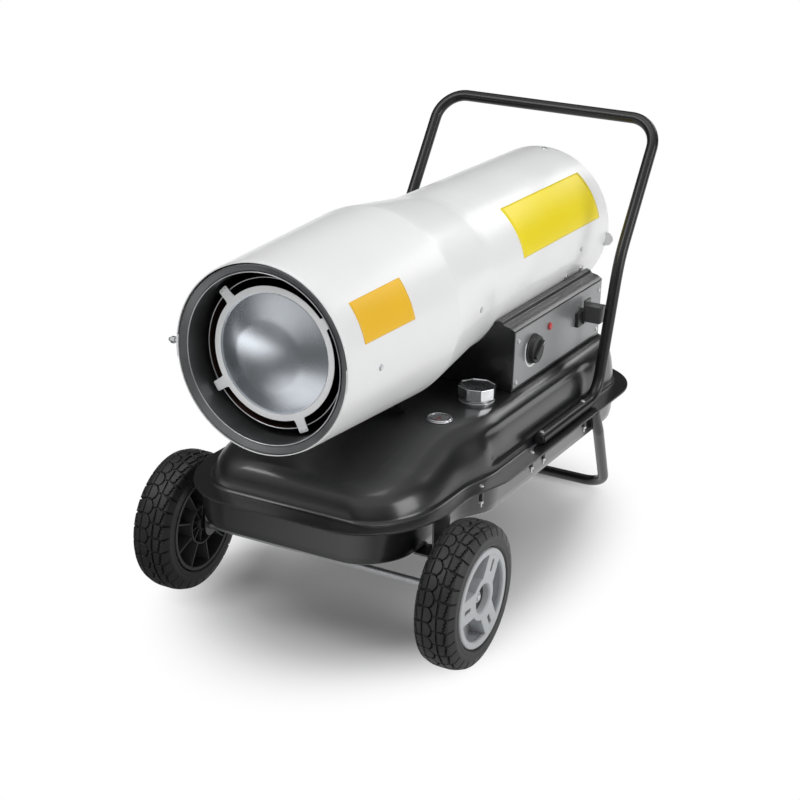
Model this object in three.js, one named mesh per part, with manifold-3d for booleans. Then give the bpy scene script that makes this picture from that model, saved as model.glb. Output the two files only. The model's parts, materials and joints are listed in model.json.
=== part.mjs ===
// Forced-air oil heater on a wheeled fuel tank. Millimetres, +Z up.
// X runs along the axle, Y runs from the air outlet at the front to the handle at the rear.
// While it is built, Y is counted from the axle. The whole group is then moved so that
// the origin is the middle of the footprint, on the floor.
import * as THREE from "three";
import { mergeVertices } from "three/addons/utils/BufferGeometryUtils.js";
import Module from "manifold-3d";

const wasm = await Module();
wasm.setup();

// Driving dimensions
const GAP = 0.3;
const OUTLET_Y = -193;
const HANDLE_BAR_Y = 856;
const HANDLE_BAR_Z = 757;
const TUBE_R = 11;
const MID_Y = (OUTLET_Y + HANDLE_BAR_Y + TUBE_R) / 2;

const WHEEL_R = 125;
const TYRE_HALF = 36;
const WHEEL_X = 273.2;
const RIM_R = 85;
const AXLE_R = 6;
const HUB_R = 31;
const WINDOW = { middles: [0, 120, 240], outer: 43, inner: 24, depth: 31 };
const WHEEL_SIDES = 36;

const FLANGE_TOP = 252.3;
const FLANGE_MID = 250.65;
const FLANGE_LOW = 249;
const TANK_BOTTOM = 187;
const TANK_TOP = 340;
const TANK_TOP_FRONT = 305;
const SHEET = 1.5;

const BARREL_Z = 530;
const BARREL_REAR = 850;
const SEAM_Z = 508;
const RING_SIDES = 64;

const BOX_FRONT = 366;
const BOX_REAR = 768;
const BOX_FLOOR = 341;
const BOX_LEFT = -70;
const PANEL_X = 176;
const PANEL_LOW = 348;
const PANEL_TOP = 455;

const CAP = { x: 136, y: 303, r: 34.5 };
const GAUGE = { x: 125, y: 181 };
const FLOAT_PIVOT_Z = 315;
const FLOAT_DROP = 62;
const KNOB = { y: 445, z: 403, r: 28 };
const LAMP = { y: 516, z: 426 };
const SOCKET = { y: 659, z: 404 };
const FUEL_PIPE = { x: 20, y: 430 };
const AIR_PIPE = { x: -12, yFront: 440, yRear: 707 };

// Helpers for solids
const radians = (degrees) => (degrees * Math.PI) / 180;
const smooth = (t) => {
  const u = Math.min(1, Math.max(0, t));
  return u * u * (3 - 2 * u);
};
const mix = (a, b, t) => a + (b - a) * t;

function solid(geometry) {
  const bare = geometry.clone();
  bare.deleteAttribute("normal");
  bare.deleteAttribute("uv");
  const merged = mergeVertices(bare, 1e-4);
  return new wasm.Manifold(
    new wasm.Mesh({
      numProp: 3,
      vertProperties: new Float32Array(merged.attributes.position.array),
      triVerts: new Uint32Array(merged.index.array),
    }),
  );
}

function geometryOf(manifold) {
  const mesh = manifold.getMesh();
  const geometry = new THREE.BufferGeometry();
  geometry.setAttribute("position", new THREE.BufferAttribute(mesh.vertProperties, 3));
  geometry.setIndex(new THREE.BufferAttribute(mesh.triVerts, 1));
  return geometry;
}

function join(...geometries) {
  return geometryOf(geometries.map(solid).reduce((sum, next) => sum.add(next)));
}

function cut(base, ...tools) {
  return geometryOf(tools.map(solid).reduce((rest, tool) => rest.subtract(tool), solid(base)));
}

function common(a, b) {
  return geometryOf(solid(a).intersect(solid(b)));
}

// Turns the faces round when a closed geometry was made inside out
function facingOut(geometry) {
  const p = geometry.attributes.position;
  const index = geometry.index.array;
  const [a, b, c] = [new THREE.Vector3(), new THREE.Vector3(), new THREE.Vector3()];
  let volume = 0;
  for (let i = 0; i < index.length; i += 3) {
    a.fromBufferAttribute(p, index[i]);
    b.fromBufferAttribute(p, index[i + 1]);
    c.fromBufferAttribute(p, index[i + 2]);
    volume += a.dot(b.cross(c));
  }
  if (volume < 0) {
    for (let i = 0; i < index.length; i += 3) {
      [index[i + 1], index[i + 2]] = [index[i + 2], index[i + 1]];
    }
  }
  return geometry;
}

function box(from, to) {
  const size = to.map((value, k) => value - from[k]);
  const middle = to.map((value, k) => (value + from[k]) / 2);
  return new THREE.BoxGeometry(...size).translate(...middle);
}

// Turns a geometry made about the Y axis so that its axis is x, y or z
function alongAxis(geometry, axis) {
  if (axis === "x") geometry.rotateZ(-Math.PI / 2);
  if (axis === "z") geometry.rotateX(Math.PI / 2);
  return geometry;
}

// Solid cylinder between two stations of one axis, at the given centre of the other two
function rod(axis, radius, from, to, centre, sides = 24) {
  const geometry = new THREE.CylinderGeometry(radius, radius, to - from, sides);
  alongAxis(geometry, axis);
  const middle = (from + to) / 2;
  if (axis === "x") geometry.translate(middle, centre[0], centre[1]);
  if (axis === "y") geometry.translate(centre[0], middle, centre[1]);
  if (axis === "z") geometry.translate(centre[0], centre[1], middle);
  return geometry;
}

// Closed profile of [station, radius] pairs turned about an axis through the centre
function turned(axis, profile, centre, sides = 24) {
  const points = profile.map(([station, radius]) => new THREE.Vector2(radius, station));
  const onAxis = profile[0][1] === 0 && profile[profile.length - 1][1] === 0;
  if (!onAxis) points.push(points[0].clone());
  const lathe = new THREE.LatheGeometry(points, sides);
  lathe.deleteAttribute("normal");
  lathe.deleteAttribute("uv");
  const geometry = facingOut(mergeVertices(lathe, 1e-4));
  if (axis === "x") geometry.rotateZ(-Math.PI / 2).translate(0, centre[0], centre[1]);
  if (axis === "y") geometry.translate(centre[0], 0, centre[1]);
  if (axis === "z") geometry.rotateX(Math.PI / 2).translate(centre[0], centre[1], 0);
  return withoutSlivers(geometry);
}

// Drops the triangles that a turned profile leaves without area on its axis
function withoutSlivers(geometry) {
  const index = geometry.index.array;
  const kept = [];
  for (let i = 0; i < index.length; i += 3) {
    const [a, b, c] = index.slice(i, i + 3);
    if (a !== b && b !== c && a !== c) kept.push(a, b, c);
  }
  geometry.setIndex(kept);
  return geometry;
}

// Flat outline of [u, v] pairs, pushed out along an axis: x gives (y, z), y gives (x, z)
function plate(axis, outline, from, to, holes = []) {
  const shape = new THREE.Shape(outline.map(([u, v]) => new THREE.Vector2(u, v)));
  for (const hole of holes) {
    shape.holes.push(new THREE.Path(hole.map(([u, v]) => new THREE.Vector2(u, v))));
  }
  const geometry = new THREE.ExtrudeGeometry(shape, { depth: to - from, bevelEnabled: false });
  if (axis === "x") {
    geometry.rotateX(Math.PI / 2).rotateZ(Math.PI / 2).translate(from, 0, 0);
  }
  if (axis === "y") {
    geometry.rotateX(Math.PI / 2).translate(0, to, 0);
  }
  if (axis === "z") geometry.translate(0, 0, from);
  return geometry;
}

function circlePoints(radius, sides, u = 0, v = 0, start = 0) {
  return Array.from({ length: sides }, (_, k) => {
    const angle = start + (2 * Math.PI * k) / sides;
    return [u + radius * Math.cos(angle), v + radius * Math.sin(angle)];
  });
}

function arcPoints(radius, fromDegrees, toDegrees, steps, u = 0, v = 0) {
  return Array.from({ length: steps + 1 }, (_, k) => {
    const angle = radians(mix(fromDegrees, toDegrees, k / steps));
    return [u + radius * Math.cos(angle), v + radius * Math.sin(angle)];
  });
}

// A route through corner points, each rounded to its own bend radius
class Route extends THREE.Curve {
  constructor(corners, stepDegrees = 14) {
    super();
    this.knots = [corners[0].at];
    for (let k = 1; k < corners.length - 1; k += 1) {
      this.addBend(corners[k - 1].at, corners[k].at, corners[k + 1].at, corners[k].bend, stepDegrees);
    }
    this.knots.push(corners[corners.length - 1].at);
  }

  addBend(before, corner, after, bend, stepDegrees) {
    const back = before.clone().sub(corner).normalize();
    const ahead = after.clone().sub(corner).normalize();
    const turn = Math.PI - back.angleTo(ahead);
    const reach = bend * Math.tan(turn / 2);
    const start = corner.clone().addScaledVector(back, reach);
    const inward = back.clone().add(ahead).normalize();
    const centre = corner.clone().addScaledVector(inward, bend / Math.cos(turn / 2));
    const axis = back.clone().cross(ahead).normalize();
    const steps = Math.max(2, Math.round((turn * 180) / Math.PI / stepDegrees));
    for (let k = 0; k <= steps; k += 1) {
      const spoke = start.clone().sub(centre).applyAxisAngle(axis, (-turn * k) / steps);
      this.knots.push(centre.clone().add(spoke));
    }
  }

  getPoint(t, target = new THREE.Vector3()) {
    const place = Math.min(1, Math.max(0, t)) * (this.knots.length - 1);
    const k = Math.min(this.knots.length - 2, Math.floor(place));
    return target.lerpVectors(this.knots[k], this.knots[k + 1], place - k);
  }

  getPointAt(u, target) {
    return this.getPoint(u, target);
  }

  getTangentAt(u, target) {
    return this.getTangent(u, target);
  }
}

// Round bar or tube along a route
function bentTube(corners, radius, boreRadius, sides, stepDegrees) {
  const route = new Route(
    corners.map(([x, y, z, bend = 0]) => ({ at: new THREE.Vector3(x, y, z), bend })),
    stepDegrees,
  );
  const section = new THREE.Shape(circlePoints(radius, sides).map(([u, v]) => new THREE.Vector2(u, v)));
  if (boreRadius > 0) {
    const bore = circlePoints(boreRadius, sides).map(([u, v]) => new THREE.Vector2(u, v));
    section.holes.push(new THREE.Path(bore));
  }
  return new THREE.ExtrudeGeometry(section, {
    steps: route.knots.length - 1,
    extrudePath: route,
    bevelEnabled: false,
  });
}

// Skin through rings of points. Every ring starts at the front middle and is a mirror image
// of itself about X = 0, so each end is closed by strips that cross from side to side.
function loft(rings) {
  const count = rings[0].length;
  const half = count / 2;
  const positions = rings.flat().flatMap((p) => [p.x, p.y, p.z]);
  const index = [];
  for (let r = 0; r < rings.length - 1; r += 1) {
    for (let i = 0; i < count; i += 1) {
      const j = (i + 1) % count;
      const [a, b] = [r * count + i, r * count + j];
      const [c, d] = [a + count, b + count];
      index.push(a, b, d, a, d, c);
    }
  }
  const crossing = (base, up) => {
    for (let i = 0; i < half; i += 1) {
      const [a, b] = [i, i + 1];
      const [c, d] = [(count - i) % count, count - i - 1];
      const triangles = [[a, b, d]];
      if (a !== c) triangles.push([a, d, c]);
      for (const [p, q, s] of triangles) {
        if (q === s) continue;
        index.push(...(up ? [base + p, base + q, base + s] : [base + p, base + s, base + q]));
      }
    }
  };
  crossing(0, false);
  crossing((rings.length - 1) * count, true);
  const geometry = new THREE.BufferGeometry();
  geometry.setAttribute("position", new THREE.Float32BufferAttribute(positions, 3));
  geometry.setIndex(index);
  return withoutSlivers(facingOut(geometry));
}

// Materials and the scene graph
const heater = new THREE.Group();
heater.position.y = -MID_Y;

const FINISHES = {
  whitePaint: [0xf1f1ef, 0.28, 0],
  blackPaint: [0x141416, 0.25, 0],
  blackTube: [0x0e0e10, 0.22, 0],
  rubber: [0x242426, 0.85, 0],
  rimPlastic: [0xb9bcbf, 0.45, 0],
  zinc: [0xb6b9bd, 0.35, 1],
  darkSteel: [0x55565a, 0.5, 1],
  stainless: [0xa9b2bb, 0.18, 1],
  paleSteel: [0xd4d6d8, 0.4, 1],
  aluminium: [0xaeb1b4, 0.4, 1],
  panelGrey: [0x8e9093, 0.5, 0],
  blackPlastic: [0x1a1a1c, 0.5, 0],
  glass: [0xdfe6ea, 0.05, 0],
  redPlastic: [0xb3202a, 0.3, 0],
  brass: [0xb08d4a, 0.35, 1],
  ceramic: [0xe9e4d8, 0.4, 0],
  copper: [0xb36b45, 0.35, 1],
  motorPaint: [0x3c4148, 0.5, 0],
  boardGreen: [0x2f6b45, 0.6, 0],
  cork: [0x6e4b34, 0.9, 0],
  foam: [0x303438, 0.9, 0],
};

function add(name, geometry, finish) {
  const [color, roughness, metalness] = FINISHES[finish];
  const mesh = new THREE.Mesh(geometry, new THREE.MeshStandardMaterial({ color, roughness, metalness }));
  mesh.name = name;
  heater.add(mesh);
}

// Tank outline seen from above: a straight front, oval front corners, a side that
// steps out behind the wheels, oval rear corners and a straight rear
const SIDE_STEPS = 12;
const CORNER_STEPS = 5;

function tankOutline(o) {
  const points = [[0, o.front]];
  points.push([(o.halfFront - o.frontOval[0]) / 2, o.front]);
  for (let k = 0; k <= CORNER_STEPS; k += 1) {
    const angle = radians(-90 + (90 * k) / CORNER_STEPS);
    points.push([
      o.halfFront - o.frontOval[0] * (1 - Math.cos(angle)),
      o.front + o.frontOval[1] * (1 + Math.sin(angle)),
    ]);
  }
  const [sideStart, sideEnd] = [o.front + o.frontOval[1], o.rear - o.rearOval[1]];
  for (let k = 1; k < SIDE_STEPS; k += 1) {
    const y = mix(sideStart, sideEnd, (k / SIDE_STEPS) ** 1.35);
    const step = smooth((y - o.stepFrom) / (o.stepTo - o.stepFrom));
    points.push([mix(o.halfFront, o.halfRear, step), y]);
  }
  for (let k = 0; k <= CORNER_STEPS; k += 1) {
    const angle = radians((90 * k) / CORNER_STEPS);
    points.push([
      o.halfRear - o.rearOval[0] * (1 - Math.cos(angle)),
      o.rear - o.rearOval[1] * (1 - Math.sin(angle)),
    ]);
  }
  points.push([(o.halfRear - o.rearOval[0]) / 2, o.rear]);
  points.push([0, o.rear]);
  const left = points.slice(1, -1).map(([x, y]) => [-x, y]).reverse();
  return [...points, ...left];
}

const FLANGE_EDGE = {
  front: -147, rear: 845, halfFront: 232, halfRear: 256,
  frontOval: [135, 175], rearOval: [120, 135], stepFrom: 80, stepTo: 210,
};
const LOWER_WALL = {
  front: -131, rear: 827, halfFront: 202, halfRear: 233,
  frontOval: [95, 110], rearOval: [115, 125], stepFrom: 110, stepTo: 195,
};
const UPPER_BASE = {
  front: -104, rear: 822, halfFront: 207, halfRear: 221,
  frontOval: [92, 150], rearOval: [90, 90], stepFrom: 110, stepTo: 210,
};
const UPPER_TOP = {
  front: -62, rear: 790, halfFront: 114, halfRear: 168,
  frontOval: [60, 70], rearOval: [42, 42], stepFrom: 110, stepTo: 250,
};

// Moves an outline inwards by a distance, square to its own line
function inset(outline, distance) {
  const count = outline.length;
  return outline.map(([x, y], i) => {
    const before = outline[(i + count - 1) % count];
    const after = outline[(i + 1) % count];
    const along = new THREE.Vector2(after[0] - before[0], after[1] - before[1]).normalize();
    return [x - along.y * distance, y + along.x * distance];
  });
}

const tankTopAt = (y) => mix(TANK_TOP_FRONT, TANK_TOP, smooth((y + 80) / 245));
const flatRing = (outline, z) => outline.map(([x, y]) => new THREE.Vector3(x, y, z));

// Rings that climb from the flange to the rounded shoulder of the upper shell
const SHOULDER = [[0, 0], [0.07, 0.3], [0.16, 0.56], [0.3, 0.77], [0.5, 0.91], [0.74, 0.98], [1, 1]];

function shoulderRings(base, top, low, drop) {
  return SHOULDER.map(([across, up]) =>
    base.map(([x, y], i) => {
      const crest = tankTopAt(top[i][1]) - drop;
      return new THREE.Vector3(mix(x, top[i][0], across), mix(y, top[i][1], across), mix(low, crest, up));
    }),
  );
}

function upperTankShell() {
  const base = tankOutline(UPPER_BASE);
  const top = tankOutline(UPPER_TOP);
  const edge = tankOutline(FLANGE_EDGE);
  const outside = shoulderRings(base, top, FLANGE_TOP, 0);
  const inside = shoulderRings(inset(base, SHEET), inset(top, SHEET), FLANGE_MID + GAP / 2, SHEET);
  const shell = loft([
    ...inside.reverse(),
    flatRing(edge, FLANGE_MID + GAP / 2),
    flatRing(edge, FLANGE_TOP),
    ...outside,
  ]);
  return cut(
    shell,
    rod("z", 24, TANK_TOP - 30, TANK_TOP + 10, [CAP.x, CAP.y], 32),
    rod("z", 17.4, TANK_TOP - 30, TANK_TOP + 10, [GAUGE.x, GAUGE.y], 32),
    rod("z", 5, TANK_TOP - 30, TANK_TOP + 10, [FUEL_PIPE.x, FUEL_PIPE.y], 16),
  );
}

const DRAIN = { x: 110, y: 690 };

function lowerTankShell() {
  const edge = tankOutline(FLANGE_EDGE);
  const wall = tankOutline(LOWER_WALL);
  const top = FLANGE_MID - GAP / 2;
  const steps = [[0, FLANGE_LOW], [4, 202], [6, 192.5], [9.5, 188.5], [15, TANK_BOTTOM]];
  const outside = steps.map(([inward, z]) => flatRing(inset(wall, inward), z));
  const innerSteps = steps.map(([inward, z], k) => [inward + SHEET, k === 0 ? top : z + SHEET]);
  const inside = innerSteps.map(([inward, z]) => flatRing(inset(wall, inward), z));
  const shell = loft([
    ...outside.reverse(),
    flatRing(edge, FLANGE_LOW),
    flatRing(edge, top),
    ...inside,
  ]);
  return cut(shell, rod("z", 7.4, TANK_BOTTOM - 5, TANK_BOTTOM + 5, [DRAIN.x, DRAIN.y]));
}

function buildTank() {
  add("tank_upper_shell", upperTankShell(), "blackPaint");
  add("tank_lower_shell", lowerTankShell(), "blackPaint");

  const plug = join(
    rod("z", 11, 178.7, TANK_BOTTOM - GAP, [DRAIN.x, DRAIN.y], 6),
    rod("z", 7, 186, 194, [DRAIN.x, DRAIN.y]),
  );
  add("drain_plug", plug, "zinc");

  const neckBase = TANK_TOP + GAP;
  const neckTop = 352;
  const neck = [[neckBase, 23], [neckBase, 32], [343.3, 32], [343.3, 27], [neckTop, 27], [neckTop, 23]];
  add("filler_neck", turned("z", neck, [CAP.x, CAP.y]), "zinc");

  const cup = [
    [271, 0], [271, 21.2], [352.3, 21.2], [352.3, 26], [353.3, 26], [353.3, 20], [272.2, 20], [272.2, 0],
  ];
  add("fuel_strainer", turned("z", cup, [CAP.x, CAP.y]), "brass");

  const gasket = [[353.6, 19], [353.6, 26.5], [355.6, 26.5], [355.6, 19]];
  add("cap_gasket", turned("z", gasket, [CAP.x, CAP.y]), "rubber");
  add("filler_cap", fillerCap(), "zinc");
}

function fillerCap() {
  const [low, bevel, top] = [347.5, 366.2, 368];
  const turnBy = radians(38);
  const body = plate("z", circlePoints(CAP.r, 8, CAP.x, CAP.y, turnBy), low, bevel);
  const crown = new THREE.CylinderGeometry(CAP.r - 3.5, CAP.r, top - bevel, 8, 1);
  crown.rotateX(Math.PI / 2).rotateZ(turnBy).translate(CAP.x, CAP.y, (top + bevel) / 2 - 0.02);
  return cut(join(body, crown), rod("z", 28.5, low - 5, 355.9, [CAP.x, CAP.y], 32));
}

function buildGauge() {
  const seat = TANK_TOP + GAP;
  const body = [
    [322, 4], [322, 16.8], [seat, 16.8], [seat, 23], [343, 23], [344.6, 20.5],
    [344.6, 18.8], [341.2, 18.8], [341.2, 4],
  ];
  const ears = [-1, 1].map((side) => {
    const x = GAUGE.x + side * 8.5;
    return box([x - 1, GAUGE.y - 5, FLOAT_PIVOT_Z - 6], [x + 1, GAUGE.y + 5, 324]);
  });
  const pinHole = rod("x", 3.3, GAUGE.x - 20, GAUGE.x + 20, [GAUGE.y, FLOAT_PIVOT_Z]);
  add("gauge_body", cut(join(turned("z", body, [GAUGE.x, GAUGE.y]), ...ears), pinHole), "zinc");
  add("gauge_lens", rod("z", 18.4, 343, 344.2, [GAUGE.x, GAUGE.y]), "glass");
  const needle = join(
    rod("z", 2.6, 341.5, 342.6, [GAUGE.x, GAUGE.y], 16),
    box([GAUGE.x - 1, GAUGE.y - 14, 341.7], [GAUGE.x + 1, GAUGE.y + 5, 342.4]),
  );
  add("gauge_needle", needle, "redPlastic");

  const slope = radians(FLOAT_DROP);
  const reach = (length) => [
    GAUGE.x, GAUGE.y - length * Math.cos(slope), FLOAT_PIVOT_Z - length * Math.sin(slope),
  ];
  const arm = bentTube([reach(0), reach(110)], 1.6, 0, 8);
  const pin = rod("x", 3, GAUGE.x - 12, GAUGE.x + 12, [GAUGE.y, FLOAT_PIVOT_Z], 12);
  const bob = rod("x", 16, GAUGE.x - 20, GAUGE.x + 20, reach(118).slice(1), 20);
  add("float_arm", join(arm, pin, bob), "foam");
}

function buildPickup() {
  const { x, y } = FUEL_PIPE;
  const seat = TANK_TOP + GAP;
  const pipe = [
    [196, 0], [196, 9], [222, 9], [222, 4], [seat, 4], [seat, 11], [343.3, 11],
    [343.3, 4], [350, 4], [350, 0],
  ];
  add("fuel_pickup", turned("z", pipe, [x, y], 16), "brass");
}

// Wheels, axle, plates and the bent tubes
function rimGeometry(side) {
  const at = (offset) => side * (WHEEL_X + offset);
  const span = (from, to) => [Math.min(at(from), at(to)), Math.max(at(from), at(to))];
  const centre = [0, WHEEL_R];
  const half = TYRE_HALF - 0.2;
  const hoop = turned("x", [[-half, 79], [-half, RIM_R], [half, RIM_R], [half, 79]], centre, WHEEL_SIDES);
  hoop.translate(side * WHEEL_X, 0, 0);
  const face = plate("x", circlePoints(80, WHEEL_SIDES, ...centre), ...span(half - 7, half - 0.5), spokeGaps());
  const floor = half - WINDOW.depth;
  const hub = rod("x", 20, ...span(-half, half - 4), centre);
  const hubRing = cut(
    rod("x", HUB_R, ...span(floor, half), centre),
    rod("x", HUB_R - 3.5, ...span(floor - 5, half - 17), centre),
  );
  const pockets = WINDOW.middles.map((middle) => cut(
    plate("x", windowOutline(middle, 35.5, 80, 2), ...span(floor, half - 5)),
    plate("x", windowOutline(middle, 37, 76, 0), ...span(floor + 2.5, half + 5)),
  ));
  const whole = join(hoop, face, hub, hubRing, ...pockets);
  return cut(
    whole,
    rod("x", AXLE_R + GAP, ...span(-50, 50), centre),
    rod("x", 19, ...span(half - 13, half + 5), centre),
  );
}

function windowOutline(middle, inner, outer, grow) {
  const [far, near] = [WINDOW.outer + grow, WINDOW.inner + grow];
  return [
    ...arcPoints(outer, middle - far, middle + far, 6, 0, WHEEL_R),
    ...arcPoints(inner, middle + near, middle - near, 3, 0, WHEEL_R),
  ];
}

// The mouths of the three closed pockets, and a slot in each of the three spokes between them
function spokeGaps() {
  const gaps = WINDOW.middles.map((middle) => windowOutline(middle, 37, 74, 0));
  for (const spoke of [60, 180, 300]) {
    const [sin, cos] = [Math.sin(radians(spoke)), Math.cos(radians(spoke))];
    const place = (along, across) => [along * cos - across * sin, WHEEL_R + along * sin + across * cos];
    gaps.push([place(46, -3.5), place(68, -3.5), place(68, 3.5), place(46, 3.5)]);
  }
  return gaps;
}

function tyreGeometry(side) {
  const seat = RIM_R + GAP;
  const profile = [
    [-32, seat], [-TYRE_HALF, 92], [-TYRE_HALF, 106], [-28, 120], [-12, WHEEL_R],
    [12, WHEEL_R], [28, 120], [TYRE_HALF, 106], [TYRE_HALF, 92], [32, seat],
  ];
  return turned("x", profile, [0, WHEEL_R], WHEEL_SIDES).translate(side * WHEEL_X, 0, 0);
}

const PLATE_X = [222, 226];

function axlePlate(side) {
  const outline = [
    [-24, FLANGE_LOW - GAP], [34, FLANGE_LOW - GAP], [34, 232], [18, 140],
    ...arcPoints(18, 0, -180, 8, 0, WHEEL_R), [-18, 140],
  ];
  const [from, to] = side > 0 ? PLATE_X : [-PLATE_X[1], -PLATE_X[0]];
  const foot = side > 0 ? [160, 223] : [-223, -160];
  const sleeveEnd = WHEEL_X - TYRE_HALF - GAP;
  const sleeve = side > 0 ? [PLATE_X[0], sleeveEnd] : [-sleeveEnd, -PLATE_X[0]];
  return cut(
    join(
      plate("x", outline, from, to),
      box([foot[0], -20, TANK_BOTTOM - GAP - 4], [foot[1], 22, TANK_BOTTOM - GAP]),
      rod("x", 10, ...sleeve, [0, WHEEL_R]),
    ),
    rod("x", AXLE_R + GAP, Math.min(from, sleeve[0]) - 5, Math.max(to, sleeve[1]) + 5, [0, WHEEL_R]),
  );
}

function buildChassis() {
  const axleEnd = WHEEL_X + TYRE_HALF - 8;
  add("axle", rod("x", AXLE_R, -axleEnd, axleEnd, [0, WHEEL_R], 24), "zinc");
  for (const [name, side] of [["left", -1], ["right", 1]]) {
    const along = (from, to) => (side > 0 ? [from, to] : [-to, -from]);
    add(`axle_plate_${name}`, axlePlate(side), "blackPaint");
    add(`wheel_rim_${name}`, rimGeometry(side), "rimPlastic");
    add(`tyre_${name}`, tyreGeometry(side), "rubber");
    const clip = ringSolid(14, AXLE_R + GAP, along(WHEEL_X + TYRE_HALF - 12.8, WHEEL_X + TYRE_HALF - 10));
    add(`axle_clip_${name}`, clip, "zinc");
  }
  add("handle", handleGeometry(), "blackTube");
  add("rear_leg", legGeometry(), "blackTube");
}

function ringSolid(outer, bore, [from, to]) {
  const profile = [[from, bore], [from, outer], [to, outer], [to, bore]];
  return turned("x", profile, [0, WHEEL_R], 24);
}

const HANDLE_X = 232.5;
const HANDLE_END = 370;
const HANDLE_RUN_Z = FLANGE_TOP + GAP + TUBE_R;

function handleGeometry() {
  const half = [
    [HANDLE_X, HANDLE_END, HANDLE_RUN_Z],
    [HANDLE_X, 632, HANDLE_RUN_Z, 55],
    [HANDLE_X, 700, 520, 220],
    [HANDLE_X, HANDLE_BAR_Y, HANDLE_BAR_Z, 56],
  ];
  const other = half.map(([x, ...rest]) => [-x, ...rest]).reverse();
  return bentTube([...half, ...other], TUBE_R, TUBE_R - 1.5, 12, 20);
}

const LEG_R = 10.5;

function legGeometry() {
  const half = [
    [246.5, 585, 264],
    [239.5, 640, 193, 90],
    [197, 808, LEG_R, 55],
  ];
  const other = half.map(([x, ...rest]) => [-x, ...rest]).reverse();
  const tube = bentTube([...half, ...other], LEG_R, LEG_R - 1.5, 12, 22);
  return cut(tube, box([-300, 500, FLANGE_LOW - GAP], [300, 700, 300]));
}

// Barrel: outer radius of the jacket at each station
const JACKET = [
  [OUTLET_Y, 155.5], [-186, 156.8], [150, 171.2], [165, 169.8], [325, 150.6], [345, 149.4],
  [BARREL_REAR, 148],
];
const LAP = SHEET + GAP;

function jacketRadius(y) {
  const k = Math.max(1, JACKET.findIndex(([station]) => station >= y));
  const [[y0, r0], [y1, r1]] = [JACKET[k - 1], JACKET[k]];
  return mix(r0, r1, (y - y0) / (y1 - y0));
}

function jacketTube(drop) {
  const outside = JACKET.map(([y, r]) => [y, r - drop]);
  const inside = JACKET.map(([y, r]) => [y, r - drop - SHEET]).reverse();
  return turned("y", [...outside, ...inside], [0, BARREL_Z], RING_SIDES);
}

function buildBarrel() {
  const above = box([-200, -250, SEAM_Z], [200, 900, 760]);
  add("barrel_upper_shell", common(jacketTube(0), above), "whitePaint");
  const below = box([-200, -250, 300], [200, 900, BARREL_Z + 14]);
  const lower = cut(
    common(jacketTube(LAP), below),
    rod("z", 8, 370, 400, [FUEL_PIPE.x, FUEL_PIPE.y], 16),
    rod("z", 8, 370, 400, [AIR_PIPE.x, AIR_PIPE.yFront], 16),
    rod("z", 8, 370, 400, [AIR_PIPE.x, AIR_PIPE.yRear], 16),
  );
  add("barrel_lower_shell", lower, "whitePaint");

  const axis = [0, BARREL_Z];
  const collar = [
    [-168, 151.9], [OUTLET_Y + 0.5, 151.9], [-185.5, 139.5], [-184.4, 141], [-190.6, 150.5],
    [-168, 150.5],
  ];
  add("outlet_collar", turned("y", collar, axis, 48), "darkSteel");
  const liner = [[-187, 137.6], [-187, 139], [300, 139], [300, 137.6]];
  add("outer_liner", turned("y", liner, axis, 40), "darkSteel");
  const chamber = [[-152, 121.2], [-152, 122.6], [252, 122.6], [252, 62], [250.6, 62], [250.6, 121.2]];
  add("combustion_chamber", turned("y", chamber, axis, 40), "darkSteel");
  add("baffle_ring", baffleRing(), "paleSteel");
  add("baffle_dome", turned("y", domeProfile(), axis, 36), "stainless");
  add("barrel_saddle", saddle(), "blackPaint");
  add("intake_guard", intakeGuard(), "blackPaint");
}

// Ring in front of the chamber mouth with four tabs that reach over its edge
const TAB_ANGLES = [36, 137, 215, 296];

function baffleRing() {
  const [front, back] = [-154.2, -152.6];
  const outline = circlePoints(110, 40, 0, BARREL_Z);
  const opening = circlePoints(96.5, 40, 0, BARREL_Z);
  const ring = plate("y", outline, front, back, [opening]);
  const tabs = TAB_ANGLES.map((angle) => {
    const [sin, cos] = [Math.sin(radians(angle)), Math.cos(radians(angle))];
    const place = (along, across) => [along * cos - across * sin, BARREL_Z + along * sin + across * cos];
    const strip = [place(107, -9), place(131, -9), place(131, 9), place(107, 9)];
    return plate("y", strip, front, back);
  });
  return join(ring, ...tabs);
}

// Dished disc with a smaller raised bulge in its middle
function domeProfile() {
  const seat = -152.3;
  const rise = (r) => 21 * (1 - (r / 95.5) ** 2) + 7 * smooth((62 - r) / 20);
  const radii = [95.5, 79, 62, 52, 42, 22, 0];
  const front = radii.map((r) => [seat - rise(r), r]);
  const back = [...radii].reverse().map((r) => [seat + 1.3 - rise(r), r]);
  const rim = [[seat + 1.3, 104], [seat, 104]];
  return [...back, ...rim, ...front];
}

function saddle() {
  const [from, to] = [172, 200];
  const foot = box([-62, from, TANK_TOP + GAP], [62, to, TANK_TOP + 3.5]);
  const web = box([-50, 184, TANK_TOP + 3], [50, 187, 400]);
  const inside = [[160, 0], [160, jacketRadius(160) - LAP + 0.5], [215, jacketRadius(215) - LAP + 0.5], [215, 0]];
  return cut(join(foot, web), turned("y", inside, [0, BARREL_Z], RING_SIDES));
}

// Flat guard with three rows of wide slots
function intakeGuard() {
  const slots = [];
  for (const [inner, outer, count, turnBy] of [[22, 64, 4, 0], [68, 102, 8, 19], [106, 138, 8, 7]]) {
    for (let k = 0; k < count; k += 1) {
      const from = (360 / count) * k + turnBy;
      const [near, far] = [barAngle(inner), barAngle(outer)];
      const steps = count === 4 ? 5 : 3;
      const upper = arcPoints(outer, from + far, from + 360 / count - far, steps, 0, BARREL_Z);
      const lower = arcPoints(inner, from + 360 / count - near, from + near, steps, 0, BARREL_Z);
      slots.push([...upper, ...lower]);
    }
  }
  return plate("y", circlePoints(144, 48, 0, BARREL_Z), BARREL_REAR - 8, BARREL_REAR - 6, slots);
}

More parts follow.
